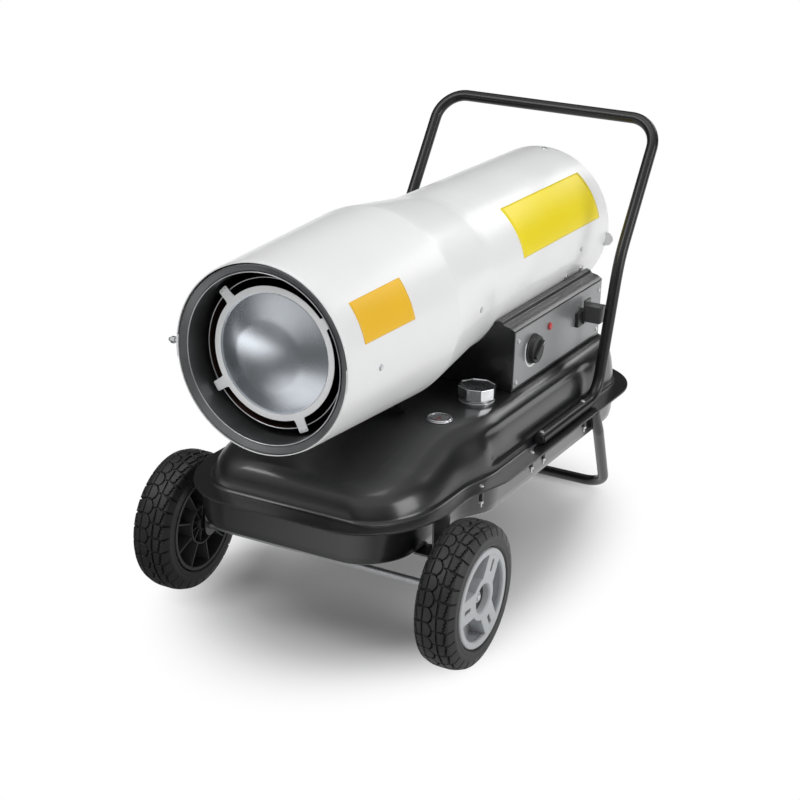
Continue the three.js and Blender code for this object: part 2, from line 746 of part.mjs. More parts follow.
// Half of a guard bar's width, as an angle at the given radius
const GUARD_BAR = 2;
const barAngle = (radius) => (Math.asin(GUARD_BAR / radius) * 180) / Math.PI;

// Burner, fan, motor and air pump on the barrel's axis
function buildBurner() {
  const axis = [0, BARREL_Z];
  const head = turned("y", [
    [252.4, 9.4], [252.4, 80], [254.4, 80], [254.4, 26], [288, 26], [288, 23], [256, 23], [256, 9.4],
  ], axis);
  const vents = Array.from({ length: 6 }, (_, k) => {
    const slot = box([-3, 245, 40], [3, 260, 60]);
    return slot.rotateY(radians(60 * k + 30)).translate(0, 0, BARREL_Z);
  });
  const wireHoles = ELECTRODE_X.map((x) => rod("y", 4.6, 245, 260, [x, BARREL_Z + 16], 12));
  const eye = rod("y", 7.4, 245, 260, [0, BARREL_Z - 33.5], 16);
  add("burner_head", cut(head, ...vents, ...wireHoles, eye), "aluminium");

  const nozzle = [[238, 0], [238, 3], [246, 9], [272, 9], [272, 12], [286, 12], [286, 0]];
  add("fuel_nozzle", turned("y", nozzle, axis, 24), "brass");
  ELECTRODE_X.forEach((x, k) => {
    const tip = [Math.sign(x) * 3, 234, BARREL_Z + 7];
    const wire = bentTube([[x, 250, BARREL_Z + 16], [x, 238, BARREL_Z + 16, 4], tip], 1.1, 0, 8);
    const insulator = rod("y", 4, 240, 279, [x, BARREL_Z + 16], 12);
    add(`ignition_electrode_${k + 1}`, join(insulator, wire), "ceramic");
  });
  add("flame_photocell", rod("y", 7, 246, 275, [0, BARREL_Z - 33.5], 20), "blackPlastic");
}

const ELECTRODE_X = [-7.5, 7.5];

function fanBlade(angle) {
  const blade = box([-26, -1.2, 22], [26, 1.2, 136]);
  blade.rotateZ(radians(32)).translate(0, 490, 0);
  return blade.rotateY(radians(angle)).translate(0, 0, BARREL_Z);
}

function buildFan() {
  const axis = [0, BARREL_Z];
  add("motor_shaft", rod("y", 6, 462, 716, axis, 24), "zinc");
  const hub = turned("y", [[472, 6.3], [472, 30], [508, 30], [508, 6.3]], axis);
  add("fan", join(hub, ...[0, 72, 144, 216, 288].map(fanBlade)), "aluminium");

  const motor = [
    [548, 6.5], [548, 14], [556, 14], [556, 48], [564, 56], [676, 56], [684, 48],
    [684, 14], [690, 14], [690, 6.5],
  ];
  add("motor", turned("y", motor, axis), "motorPaint");
  add("motor_bracket", motorBracket(), "zinc");

  const pumpBody = cut(
    turned("y", [[690.4, 7], [690.4, 38], [718, 38], [718, 25], [696, 25], [696, 7]], axis, 32),
    rod("z", 4, BARREL_Z - 45, BARREL_Z - 20, [AIR_PIPE.x, AIR_PIPE.yRear], 12),
  );
  add("air_pump_body", pumpBody, "aluminium");
  add("air_pump_rotor", turned("y", [[697, 6.3], [697, 22], [716, 22], [716, 6.3]], axis, 24), "darkSteel");
  const cover = [[718.4, 0], [718.4, 38], [726, 38], [726, 30], [746, 27], [746, 0]];
  add("air_pump_cover", turned("y", cover, axis), "aluminium");
  const dial = join(
    rod("y", 17, 727, 741, [44, BARREL_Z + 34], 24),
    rod("y", 6, 700, 730, [44, BARREL_Z + 34], 12),
    rod("x", 4.5, 28, 46, [706, BARREL_Z + 34], 12),
  );
  add("pressure_gauge", cut(dial, rod("y", 38.4, 680, 730, axis, 32)), "brass");
}

function motorBracket() {
  const seat = jacketRadius(620) - LAP - SHEET - 0.5;
  const web = box([-45, 600, 370], [45, 603, BARREL_Z]);
  const second = box([-45, 640, 370], [45, 643, BARREL_Z]);
  const sole = box([-45, 600, 380], [45, 643, 389]);
  const cradle = box([-45, 600, 470], [45, 643, 486]);
  const inside = rod("y", seat, 590, 660, [0, BARREL_Z], RING_SIDES);
  const rough = common(join(web, second, sole, cradle), inside);
  return cut(rough, rod("y", 56.8, 590, 660, [0, BARREL_Z], 32));
}

// Control box between the tank and the barrel, with its panel and fittings
const BOX_BARREL_R = 148.3;

function boxSection(wall) {
  const r = BOX_BARREL_R + wall;
  const edge = Math.sqrt(r * r - (BOX_LEFT + wall) ** 2);
  const endAngle = -180 + (Math.asin(edge / r) * 180) / Math.PI;
  return [
    [BOX_LEFT + wall, BOX_FLOOR + wall],
    [PANEL_X - SHEET - GAP - wall, BOX_FLOOR + wall],
    [PANEL_X - SHEET - GAP - wall, PANEL_TOP - wall],
    [165 - wall / 2, 460.5 - wall],
    [152, 463.5 - wall],
    [148 - wall, 468.5 - wall],
    [141.5, 470.5 - wall],
    ...arcPoints(r, -24.8, endAngle, 14, 0, BARREL_Z),
  ];
}

function controlBox() {
  const shell = cut(
    plate("y", boxSection(0), BOX_FRONT, BOX_REAR),
    plate("y", boxSection(SHEET), BOX_FRONT + SHEET, BOX_REAR - SHEET),
  );
  const window = box([PANEL_X - 10, BOX_FRONT + 16, 362], [PANEL_X, BOX_REAR - 16, PANEL_TOP - 12]);
  return cut(
    shell,
    window,
    rod("z", 12, 330, 350, [FUEL_PIPE.x, FUEL_PIPE.y]),
    rod("z", 8, 370, 392, [FUEL_PIPE.x, FUEL_PIPE.y], 16),
    rod("z", 8, 370, 392, [AIR_PIPE.x, AIR_PIPE.yFront], 16),
    rod("z", 8, 370, 392, [AIR_PIPE.x, AIR_PIPE.yRear], 16),
  );
}

function buildControls() {
  add("control_box", controlBox(), "blackPaint");
  const panel = cut(
    box([PANEL_X - SHEET, BOX_FRONT + 1, PANEL_LOW], [PANEL_X, BOX_REAR - 5, PANEL_TOP - 2]),
    rod("x", 5, PANEL_X - 5, PANEL_X + 5, [KNOB.y, KNOB.z]),
    rod("x", 5.6, PANEL_X - 5, PANEL_X + 5, [LAMP.y, LAMP.z]),
    rod("x", 11, PANEL_X - 5, PANEL_X + 5, [SOCKET.y, SOCKET.z]),
  );
  add("control_panel", panel, "panelGrey");
  add("thermostat_knob", knobGeometry(), "blackPlastic");
  const thermostat = turned("x", [[146, 4.8], [146, 21], [172, 21], [172, 4.8]], [KNOB.y, KNOB.z], 24);
  add("thermostat", thermostat, "blackPlastic");

  const lamp = [
    [PANEL_X - 14, 0], [PANEL_X - 14, 5.2], [PANEL_X + GAP, 5.2], [PANEL_X + GAP, 7],
    [PANEL_X + 2, 7], [PANEL_X + 4.2, 5], [PANEL_X + 5, 0],
  ];
  add("indicator_lamp", turned("x", lamp, [LAMP.y, LAMP.z], 24), "redPlastic");
  add("panel_socket", socketGeometry(), "blackPlastic");
  add("panel_plug", plugGeometry(), "blackPlastic");
  add("ignition_transformer", box([74, 620, 343.5], [146, 700, 393]), "motorPaint");
  add("control_board", box([118, 475, 346], [120, 600, 420]), "boardGreen");
}

// Low skirt, a round grip and a bar across it, on a shaft that runs into the thermostat
function knobGeometry() {
  const { y, z, r } = KNOB;
  const turnedBody = turned("x", [
    [150, 0], [150, 4.5], [PANEL_X + GAP, 4.5], [PANEL_X + GAP, r], [PANEL_X + 2.5, r],
    [PANEL_X + 10, r - 1.5], [PANEL_X + 12, r - 3.5], [PANEL_X + 12, 0],
  ], [y, z], 28);
  const bar = box([PANEL_X + 11, -22, -4.5], [PANEL_X + 17, 22, 4.5]);
  bar.rotateX(radians(38)).translate(0, y, z);
  return join(turnedBody, bar);
}

function socketGeometry() {
  const { y, z } = SOCKET;
  const tube = rod("x", 10, 160, PANEL_X + 4, [y, z], 20);
  return join(tube, box([PANEL_X + GAP, y - 21, z - 14], [PANEL_X + 7.5, y + 21, z + 14]));
}

// Square plug on a flange that is taller than the plug
function plugGeometry() {
  const front = SOCKET.y - 3;
  const rear = SOCKET.y + 25;
  return join(
    box([PANEL_X + 7.8, front + 1, SOCKET.z - 10], [PANEL_X + 12, rear, SOCKET.z + 36]),
    box([PANEL_X + 11, front, SOCKET.z - 5], [PANEL_X + 43, rear, SOCKET.z + 27]),
  );
}

function buildLines() {
  const { x, y } = FUEL_PIPE;
  const fuel = [
    [x, y, 350.3], [x, y, 452, 30], [5.5, 330, 527, 30], [5.5, 286.6, BARREL_Z + 1],
  ];
  add("fuel_line", bentTube(fuel, 3, 0, 8, 22), "copper");
  const { x: ax, yFront, yRear } = AIR_PIPE;
  const air = [
    [ax, yRear, BARREL_Z - 28], [ax, yRear, 361, 10], [ax, yFront, 361, 10], [ax, yFront, 452, 30],
    [-5.5, 330, 527, 30], [-5.5, 286.6, BARREL_Z + 1],
  ];
  add("air_line", bentTube(air, 2.8, 0, 8, 22), "copper");
}

buildTank();
buildGauge();
buildPickup();
buildChassis();
buildBarrel();
buildBurner();
buildFan();
buildControls();
buildLines();

export default heater;
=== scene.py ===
import json
import math
import bmesh
import bpy
import numpy as np
from mathutils import Matrix, Quaternion, Vector

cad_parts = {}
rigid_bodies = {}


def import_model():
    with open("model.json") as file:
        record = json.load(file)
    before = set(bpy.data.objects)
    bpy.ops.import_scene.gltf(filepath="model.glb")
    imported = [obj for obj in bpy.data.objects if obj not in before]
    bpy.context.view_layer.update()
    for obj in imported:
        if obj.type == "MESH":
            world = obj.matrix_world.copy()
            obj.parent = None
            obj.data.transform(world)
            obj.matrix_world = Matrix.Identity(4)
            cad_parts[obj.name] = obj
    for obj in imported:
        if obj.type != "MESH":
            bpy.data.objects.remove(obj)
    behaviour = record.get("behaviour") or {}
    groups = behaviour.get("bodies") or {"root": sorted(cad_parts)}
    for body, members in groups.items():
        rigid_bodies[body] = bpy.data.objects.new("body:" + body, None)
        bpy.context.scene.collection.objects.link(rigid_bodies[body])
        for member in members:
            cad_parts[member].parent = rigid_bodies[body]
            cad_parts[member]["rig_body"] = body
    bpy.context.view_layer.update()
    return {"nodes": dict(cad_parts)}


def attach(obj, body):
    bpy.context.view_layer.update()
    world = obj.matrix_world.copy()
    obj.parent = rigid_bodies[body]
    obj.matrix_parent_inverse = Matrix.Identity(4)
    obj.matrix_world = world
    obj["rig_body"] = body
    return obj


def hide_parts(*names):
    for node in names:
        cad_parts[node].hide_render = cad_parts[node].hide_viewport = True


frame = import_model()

MM = 0.001
MID_Y = 337.0
BARREL_Z = 530.0
BARREL = (0.0, BARREL_Z)
WHEEL_R, WHEEL_X, TYRE_HALF = 125.0, 273.2, 36.0
AXLE = (0.0, WHEEL_R)
AXLE_BORE = 6.3
SIDES = ((-1, "left"), (1, "right"))
TUBE_R, LEG_R = 11.0, 10.5
FLANGE_TOP, FLANGE_MID, FLANGE_LOW = 252.3, 250.65, 249.0
TANK_TOP, TANK_TOP_FRONT = 340.0, 305.0
SHEET, GAP = 1.5, 0.3
PANEL_X = 176.0
CAP = (136.0, 303.0)
GAUGE = (125.0, 181.0)
FUEL_PIPE = (20.0, 430.0)
KNOB = (445.0, 403.0)
PANEL_LAMP = (516.0, 426.0)


def rad(degrees):
    return math.radians(degrees)


def mix(a, b, t):
    return a + (b - a) * t


def smooth(t):
    t = np.clip(t, 0.0, 1.0)
    return t * t * (3 - 2 * t)


# ------------ materials

def feed(tree, node, inputs):
    """Sets a node's inputs: each is a plain value, or the output of another node to link."""
    for key, value in inputs.items():
        if isinstance(value, bpy.types.NodeSocket):
            tree.links.new(value, node.inputs[key])
        else:
            node.inputs[key].default_value = value


def add(tree, kind, inputs=None, **settings):
    node = tree.nodes.new(kind)
    for key, value in settings.items():
        setattr(node, key, value)
    feed(tree, node, inputs or {})
    return node


SOCKETS = {"ior": "IOR", "coat": "Coat Weight", "coat_roughness": "Coat Roughness",
           "specular": "Specular IOR Level", "transmission": "Transmission Weight"}
GRAIN_DEPTH = 0.0005
MATS = {}


def finish(name, color, rough, metal=0.0, grain=0.0, grain_scale=900.0, vary=0.08, rough_vary=0.06,
           broad=9.0, detail=3.0, stretch=(1, 1, 1), **extra):
    """A procedural finish: fine surface grain as bump, and broad changes of tone and gloss."""
    material = bpy.data.materials.new(name)
    material.use_nodes = True
    tree = material.node_tree
    place = add(tree, "ShaderNodeTexCoord").outputs["Object"]
    cloud = add(tree, "ShaderNodeTexNoise", {"Vector": place, "Scale": broad, "Detail": 4.0}).outputs["Fac"]
    tone = add(tree, "ShaderNodeMapRange", {"Value": cloud, "From Min": 0.3, "From Max": 0.7})
    dark = [c * (1 - vary) for c in color]
    light = [min(1.0, c * (1 + vary * 0.6)) for c in color]
    blend = add(tree, "ShaderNodeMix", {0: tone.outputs["Result"], 6: (*dark, 1), 7: (*light, 1)},
                data_type="RGBA")
    gloss = add(tree, "ShaderNodeMapRange", {"Value": cloud, "To Min": rough - rough_vary,
                                             "To Max": rough + rough_vary})
    look = {"Metallic": metal, "Base Color": blend.outputs[2], "Roughness": gloss.outputs["Result"]}
    look.update({SOCKETS[key]: value for key, value in extra.items()})
    if grain:
        spread = add(tree, "ShaderNodeMapping", {"Vector": place, "Scale": stretch}).outputs["Vector"]
        fine = add(tree, "ShaderNodeTexNoise", {"Vector": spread, "Scale": grain_scale, "Detail": detail})
        bump = add(tree, "ShaderNodeBump", {"Strength": grain, "Distance": GRAIN_DEPTH,
                                            "Height": fine.outputs["Fac"]})
        look["Normal"] = bump.outputs["Normal"]
    feed(tree, tree.nodes["Principled BSDF"], look)
    MATS[name] = material


finish("white_paint", (0.82, 0.823, 0.826), 0.34, grain=0.05, grain_scale=420, vary=0.012, coat=0.25,
       coat_roughness=0.12)
finish("black_paint", (0.007, 0.007, 0.008), 0.34, grain=0.012, grain_scale=220, vary=0.15,
       rough_vary=0.03, coat=0.7, coat_roughness=0.17)
finish("black_tube", (0.006, 0.006, 0.007), 0.32, grain=0.01, grain_scale=220, vary=0.15, rough_vary=0.03,
       coat=0.12, coat_roughness=0.16, specular=0.38)
finish("tyre_rubber", (0.014, 0.014, 0.015), 0.46, grain=0.35, grain_scale=1500, vary=0.2, broad=30,
       detail=6)
finish("gasket_rubber", (0.02, 0.02, 0.02), 0.7, grain=0.3, grain_scale=1800)
finish("rim_plastic", (0.43, 0.445, 0.46), 0.42, grain=0.12, grain_scale=1600, vary=0.04)
# a darker copy of rim_plastic: painted shade for the wheel's inner side
finish("rim_plastic_shaded", (0.055, 0.055, 0.057), 0.5, grain=0.12, grain_scale=1600, vary=0.10)
finish("zinc_steel", (0.62, 0.63, 0.65), 0.34, 0.85, grain=0.12, grain_scale=1100, vary=0.12, broad=60)
finish("cap_zinc", (0.76, 0.77, 0.79), 0.20, 1.0, grain=0.05, grain_scale=700, vary=0.12, broad=60,
       rough_vary=0.05)
finish("plug_plastic", (0.050, 0.050, 0.052), 0.34, grain=0.2, grain_scale=1800, vary=0.10, coat=0.3,
       coat_roughness=0.2)
finish("heat_steel", (0.21, 0.215, 0.22), 0.42, 0.85, grain=0.15, grain_scale=800, vary=0.25, broad=14,
       rough_vary=0.12)
finish("soot_steel", (0.10, 0.055, 0.045), 0.5, 0.7, grain=0.3, grain_scale=700, vary=0.45, broad=18,
       rough_vary=0.15)
finish("pale_steel", (0.93, 0.94, 0.95), 0.45, 0.05, grain=0.1, grain_scale=1300, vary=0.05, broad=20)
finish("baffle_stainless", (0.68, 0.72, 0.77), 0.27, 0.97, grain=0.012, grain_scale=700, vary=0.10,
       broad=14, rough_vary=0.05)
finish("panel_grey", (0.30, 0.305, 0.31), 0.34, 0.55, grain=0.10, grain_scale=700, vary=0.05,
       stretch=(1, 0.06, 1))
finish("cast_aluminium", (0.56, 0.57, 0.58), 0.45, 1.0, grain=0.5, grain_scale=500, vary=0.08, broad=30)
finish("black_plastic", (0.017, 0.017, 0.018), 0.45, grain=0.25, grain_scale=2200, vary=0.12)
finish("gauge_glass", (0.95, 0.97, 0.98), 0.05, vary=0.02, rough_vary=0.02, transmission=1.0, ior=1.49)
finish("red_plastic", (0.52, 0.012, 0.015), 0.18, vary=0.08, rough_vary=0.03, coat=0.6,
       coat_roughness=0.04)
finish("brass", (0.62, 0.43, 0.16), 0.33, 1.0, grain=0.15, grain_scale=900)
finish("ceramic", (0.80, 0.77, 0.70), 0.35, grain=0.08, grain_scale=900, coat=0.4)
finish("copper", (0.62, 0.28, 0.15), 0.30, 1.0, grain=0.1, grain_scale=800, vary=0.2)
finish("motor_paint", (0.055, 0.062, 0.072), 0.42, grain=0.3, grain_scale=420)
finish("board_green", (0.03, 0.13, 0.06), 0.4, grain=0.2, grain_scale=900)
finish("float_foam", (0.03, 0.032, 0.036), 0.85, grain=0.6, grain_scale=700)
finish("label_yellow", (0.86, 0.70, 0.01), 0.38, grain=0.05, grain_scale=600, vary=0.03)
finish("label_amber", (0.86, 0.50, 0.015), 0.38, grain=0.05, grain_scale=600, vary=0.03)
finish("white_print", (0.82, 0.82, 0.82), 0.45, grain=0.05, grain_scale=900)
finish("dial_face", (0.28, 0.285, 0.29), 0.30, 0.5, grain=0.05, grain_scale=900)


def paint_groove_shade(material):
    """The blocks of the tread keep their finish; painted shade turns the cuts between them black."""
    tree = material.node_tree
    shader = tree.nodes["Principled BSDF"]
    old = shader.inputs["Base Color"].links[0].from_socket
    cut = add(tree, "ShaderNodeAttribute", attribute_name="groove").outputs["Fac"]
    # painted shade: the deeper the tread is cut, the nearer black the rubber's colour
    blend = add(tree, "ShaderNodeMix", {0: cut, 6: old, 7: (0.0015, 0.0015, 0.0015, 1)}, data_type="RGBA")
    feed(tree, shader, {"Base Color": blend.outputs[2]})


paint_groove_shade(MATS["tyre_rubber"])


# ------------ mesh helpers

def fillet(points, radius=0.0, steps=4):
    """Rounds the corners of an outline; a point may carry its own radius as a third number."""
    out, count = [], len(points)
    for i, p in enumerate(points):
        r = p[2] if len(p) > 2 else radius
        here = Vector(p[:2])
        back, ahead = Vector(points[i - 1][:2]) - here, Vector(points[(i + 1) % count][:2]) - here
        room = min(back.length, ahead.length) * 0.49
        back.normalize()
        ahead.normalize()
        angle = back.angle(ahead) if r > 0 else math.pi
        if angle > math.pi - 0.01:
            out.append(tuple(here))
            continue
        reach = min(r / math.tan(angle / 2), room)
        r = reach * math.tan(angle / 2)
        centre = here + (back + ahead).normalized() * (r / math.sin(angle / 2))
        first, last = here + back * reach - centre, here + ahead * reach - centre
        start = math.atan2(first.y, first.x)
        sweep = (math.atan2(last.y, last.x) - start + math.pi) % (2 * math.pi) - math.pi
        for k in range(steps + 1):
            a = start + sweep * k / steps
            out.append((centre.x + r * math.cos(a), centre.y + r * math.sin(a)))
    return out


def publish(name, mesh, material, body, replaces=None, sharp=35.0):
    mesh.materials.clear()
    mesh.materials.append(MATS[material])
    mesh.shade_smooth()
    mesh.set_sharp_from_angle(angle=rad(sharp))
    piece = bpy.data.objects.new(name, mesh)
    bpy.context.scene.collection.objects.link(piece)
    if len(mesh.polygons) < 60000:
        piece.modifiers.new("flats", "WEIGHTED_NORMAL").keep_sharp = True
    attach(piece, body)
    if replaces:
        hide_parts(replaces)
    return piece


def weld(mesh, flatten=False):
    """Joins doubled points, and then joins flat faces or turns all faces outward."""
    tidy = bmesh.new()
    tidy.from_mesh(mesh)
    bmesh.ops.remove_doubles(tidy, verts=tidy.verts, dist=1e-6)
    if flatten:
        bmesh.ops.dissolve_limit(tidy, angle_limit=rad(1.0), verts=tidy.verts, edges=tidy.edges)
    else:
        bmesh.ops.recalc_face_normals(tidy, faces=tidy.faces)
    tidy.to_mesh(mesh)
    tidy.free()


def mesh_from(name, verts, faces):
    """A mesh from points in millimetres, Y from the axle."""
    place = (np.asarray(verts, float).reshape(-1, 3) - (0, MID_Y, 0)) * MM
    mesh = bpy.data.meshes.new(name)
    mesh.from_pydata([tuple(p) for p in place], [], faces)
    weld(mesh)
    return mesh


def build(name, verts, faces, material, body="heater", slot=None, replaces=None, sharp=35.0):
    return publish(name, mesh_from(name, verts, faces), material, body, replaces, sharp)


def grid(rows, cols, base=0, around=False, wrap=False):
    """Quads over rows of points: around closes each row, wrap joins the last row to the first."""
    faces = []
    for i in range(rows if wrap else rows - 1):
        a, b = base + i * cols, base + (i + 1) % rows * cols
        for k in range(cols if around else cols - 1):
            j = (k + 1) % cols
            faces.append([a + k, a + j, b + j, b + k])
    return faces


def seal(loop):
    """Closes a loop of points by quads that run from one side to the other."""
    return [[loop[i], loop[i + 1], loop[-2 - i], loop[-1 - i]] for i in range(len(loop) // 2 - 1)]


def on_axis(axis, station, u, v, centre):
    """The point at a station along an axis, and u and v away from it."""
    spot = [centre[0] + u, centre[1] + v]
    spot.insert("xyz".index(axis), station)
    return tuple(spot)


def turned(axis, profile, centre, sides):
    """Points and faces of a profile of (station, radius) turned about an axis."""
    closed = profile[0][1] > 1e-6 or profile[-1][1] > 1e-6
    circuit = [2 * math.pi * k / sides for k in range(sides)]
    verts = [on_axis(axis, station, radius * math.cos(a), radius * math.sin(a), centre)
             for station, radius in profile for a in circuit]
    return verts, grid(len(profile), sides, around=True, wrap=closed)


def spin(name, axis, centre, sides, profile, material, steps=4, **more):
    """A piece turned about an axis, from a profile of (station, radius, rounding)."""
    return build(name, *turned(axis, fillet(profile, steps=steps), centre, sides), material, **more)


def together(*parts):
    verts, faces = [], []
    for more, their in parts:
        base = len(verts)
        verts += list(more)
        faces += [[base + v for v in face] for face in their]
    return verts, faces


def route(corners):
    """Points along straight runs and round bends; a corner is (x, y, z, bend radius)."""
    points = [Vector(corners[0][:3])]
    for before, corner, after in zip(corners, corners[1:], corners[2:]):
        here = Vector(corner[:3])
        back = (Vector(before[:3]) - here).normalized()
        ahead = (Vector(after[:3]) - here).normalized()
        turn = math.pi - back.angle(ahead)
        bend = corner[3]
        centre = here + (back + ahead).normalized() * (bend / math.cos(turn / 2))
        spoke = here + back * (bend * math.tan(turn / 2)) - centre
        axis = back.cross(ahead).normalized()
        steps = max(2, round(math.degrees(turn) / 5.0))
        points += [centre + Quaternion(axis, -turn * k / steps) @ spoke for k in range(steps + 1)]
    points.append(Vector(corners[-1][:3]))
    return points


def tube(points, radius, sides, bore=0.0):
    """Points and faces of a round bar or tube along a path."""
    rows = len(points)
    tangents = [(points[min(i + 1, rows - 1)] - points[max(i - 1, 0)]).normalized() for i in range(rows)]
    side = tangents[0].orthogonal().normalized()
    outside, inside = [], []
    for i, (point, tangent) in enumerate(zip(points, tangents)):
        if i:
            side = tangents[i - 1].rotation_difference(tangent) @ side
        other = tangent.cross(side)
        spokes = [side * c + other * s for c, s in circle(1.0, sides, (0.0, 0.0))]
        outside += [tuple(point + spoke * radius) for spoke in spokes]
        inside = [tuple(point + spoke * bore) for spoke in spokes] + inside
    if bore:
        return outside + inside, grid(2 * rows, sides, around=True, wrap=True)
    ends = [list(range(start, start + sides)) for start in (0, (rows - 1) * sides)]
    return outside, grid(rows, sides, around=True) + ends


def slab(axis, outline, low, high, holes=(), bevel=0.4, resolution=2):
    """Points and faces of a flat plate with rounded edges, from outlines of (u, v)."""
    curve = bpy.data.curves.new("slab", "CURVE")
    curve.dimensions = "2D"
    curve.fill_mode = "BOTH"
    curve.extrude = (high - low) / 2 - bevel
    curve.bevel_depth = bevel
    curve.bevel_resolution = resolution
    curve.offset = -bevel
    for k, loop in enumerate([outline, *holes]):
        area = sum(a[0] * b[1] - b[0] * a[1] for a, b in zip(loop, [*loop[1:], loop[0]]))
        if (area > 0) == (k > 0):
            loop = loop[::-1]
        spline = curve.splines.new("POLY")
        spline.points.add(len(loop) - 1)
        spline.use_cyclic_u = True
        for point, (u, v) in zip(spline.points, loop):
            point.co = (u, v, 0, 1)
    shape = bpy.data.objects.new("slab", curve)
    bpy.context.scene.collection.objects.link(shape)
    bpy.context.view_layer.update()
    flat = shape.evaluated_get(bpy.context.evaluated_depsgraph_get())
    mesh = bpy.data.meshes.new_from_object(flat)
    middle = (low + high) / 2
    verts = [on_axis(axis, middle + v.co.z, v.co.x, v.co.y, (0, 0)) for v in mesh.vertices]
    faces = [list(p.vertices) for p in mesh.polygons]
    bpy.data.objects.remove(shape)
    bpy.data.curves.remove(curve)
    bpy.data.meshes.remove(mesh)
    return verts, faces


def polar(centre, degrees, along, wide=0.0):
    """The point at a distance along a direction from a centre, and wide to its left."""
    s, c = math.sin(rad(degrees)), math.cos(rad(degrees))
    return centre[0] + along * c - wide * s, centre[1] + along * s + wide * c


def arc(radius, first, last, steps, centre):
    return [polar(centre, mix(first, last, k / steps), radius) for k in range(steps + 1)]


def circle(radius, sides, centre):
    return arc(radius, 0, 360, sides, centre)[:-1]


def strip(centre, degrees, near, far, half, radius=0.0, steps=4):
    """A bar outline along a direction from a centre."""
    ends = ((near, -half), (far, -half), (far, half), (near, half))
    return fillet([polar(centre, degrees, along, wide) for along, wide in ends], radius, steps)


def block(low, high):
    """A plain box as points and faces."""
    verts = [(x, y, z) for x in (low[0], high[0]) for y in (low[1], high[1]) for z in (low[2], high[2])]
    faces = [[0, 1, 3, 2], [4, 6, 7, 5], [0, 4, 5, 1], [2, 3, 7, 6], [0, 2, 6, 4], [1, 5, 7, 3]]
    return verts, faces


def soften(piece, width, segments=2):
    """Rounds the sharp edges of a piece."""
    bevel = piece.modifiers.new("edges", "BEVEL")
    piece.modifiers.move(len(piece.modifiers) - 1, 0)
    bevel.width = width * MM
    bevel.segments = segments
    bevel.limit_method = "ANGLE"
    bevel.angle_limit = rad(28)
    bevel.harden_normals = True


def dress(node, material, width, segments=2):
    """A copy of a CAD node with its flat faces joined, its sharp edges rounded and a finish."""
    source = frame["nodes"][node]
    mesh = source.data.copy()
    weld(mesh, flatten=True)
    mesh.name = node + "_dressed"
    soften(publish(mesh.name, mesh, material, source["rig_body"], node), width, segments)


def carve(piece, tool):
    """Cuts a helper mesh out of a piece."""
    helper = bpy.data.objects.new("cutter", mesh_from("cutter", *tool))
    bpy.context.scene.collection.objects.link(helper)
    hole = piece.modifiers.new("hole", "BOOLEAN")
    hole.object = helper
    hole.operation = "DIFFERENCE"
    bpy.context.view_layer.update()
    done = bpy.data.meshes.new_from_object(piece.evaluated_get(bpy.context.evaluated_depsgraph_get()))
    piece.modifiers.remove(hole)
    old, piece.data = piece.data, done
    done.shade_smooth()
    done.set_sharp_from_angle(angle=rad(35))
    bpy.data.objects.remove(helper)
    bpy.data.meshes.remove(old)


# ------------ tank

def tank_outline(front, rear, half_front, half_rear, front_oval, rear_oval, step):
    """Tank outline seen from above, from the front middle round by +X to the rear and back."""
    corner, side = 14, 44
    first, last = front + front_oval[1], rear - rear_oval[1]

    def quarter(centre, oval, start):
        turns = [rad(start + 90 * k / corner) for k in range(corner + 1)]
        return [(centre[0] + oval[0] * math.cos(a), centre[1] + oval[1] * math.sin(a)) for a in turns]

    points = [(0, front), ((half_front - front_oval[0]) / 2, front)]
    points += quarter((half_front - front_oval[0], first), front_oval, -90)
    for k in range(1, side):
        y = mix(first, last, k / side)
        grown = float(smooth((y - step[0]) / (step[1] - step[0])))
        points.append((mix(half_front, half_rear, grown), y))
    points += quarter((half_rear - rear_oval[0], last), rear_oval, 0)
    points += [((half_rear - rear_oval[0]) / 2, rear), (0, rear)]
    return np.array(points + [(-x, y) for x, y in points[-2:0:-1]])


FLANGE_EDGE = tank_outline(-147, 845, 232, 256, (135, 175), (120, 135), (80, 210))
LOWER_WALL = tank_outline(-131, 827, 202, 233, (95, 110), (115, 125), (110, 195))
UPPER_BASE = tank_outline(-104, 822, 207, 221, (92, 150), (90, 90), (110, 210))
UPPER_TOP = tank_outline(-62, 790, 114, 168, (60, 70), (42, 42), (110, 250))
SHOULDER = [(0, 0), (0.07, 0.3), (0.16, 0.56), (0.3, 0.77), (0.5, 0.91), (0.74, 0.98), (1, 1)]


def inset(outline, distance):
    along = np.roll(outline, -1, 0) - np.roll(outline, 1, 0)
    along /= np.linalg.norm(along, axis=1)[:, None]
    return outline + np.stack([-along[:, 1], along[:, 0]], 1) * distance


def tank_top_at(y):
    return mix(TANK_TOP_FRONT, TANK_TOP, smooth((y + 80) / 245))


def through(points, count):
    """A smooth line of count + 1 points through the given ones."""
    pts = np.array([points[0], *points, points[-1]], float)
    pts[0] = 2 * pts[1] - pts[2]
    pts[-1] = 2 * pts[-2] - pts[-3]
    line, last = [], len(points) - 1
    for n in range(count + 1):
        t = n / count * last
        i = min(int(t), last - 1)
        t -= i
        a, b, c, d = pts[i:i + 4]
        line.append(0.5 * (2 * b + (c - a) * t + (2 * a - 5 * b + 4 * c - d) * t * t
                           + (3 * b - a - 3 * c + d) * t ** 3))
    return line


def ring_at(outline, z):
    return np.column_stack([outline, np.full(len(outline), float(z))])


def side_recess(ring):
    """Presses the shallow panel into the long sides of the upper shell."""
    x, y, z = ring.T
    along = smooth((y - 196) / 26) * smooth((662 - y) / 26)
    up = smooth((z - 262) / 10) * smooth((326 - z) / 14)
    pressed = ring.copy()
    pressed[:, 0] -= np.sign(x) * 5.0 * along * up * (np.abs(x) > 150)
    return pressed


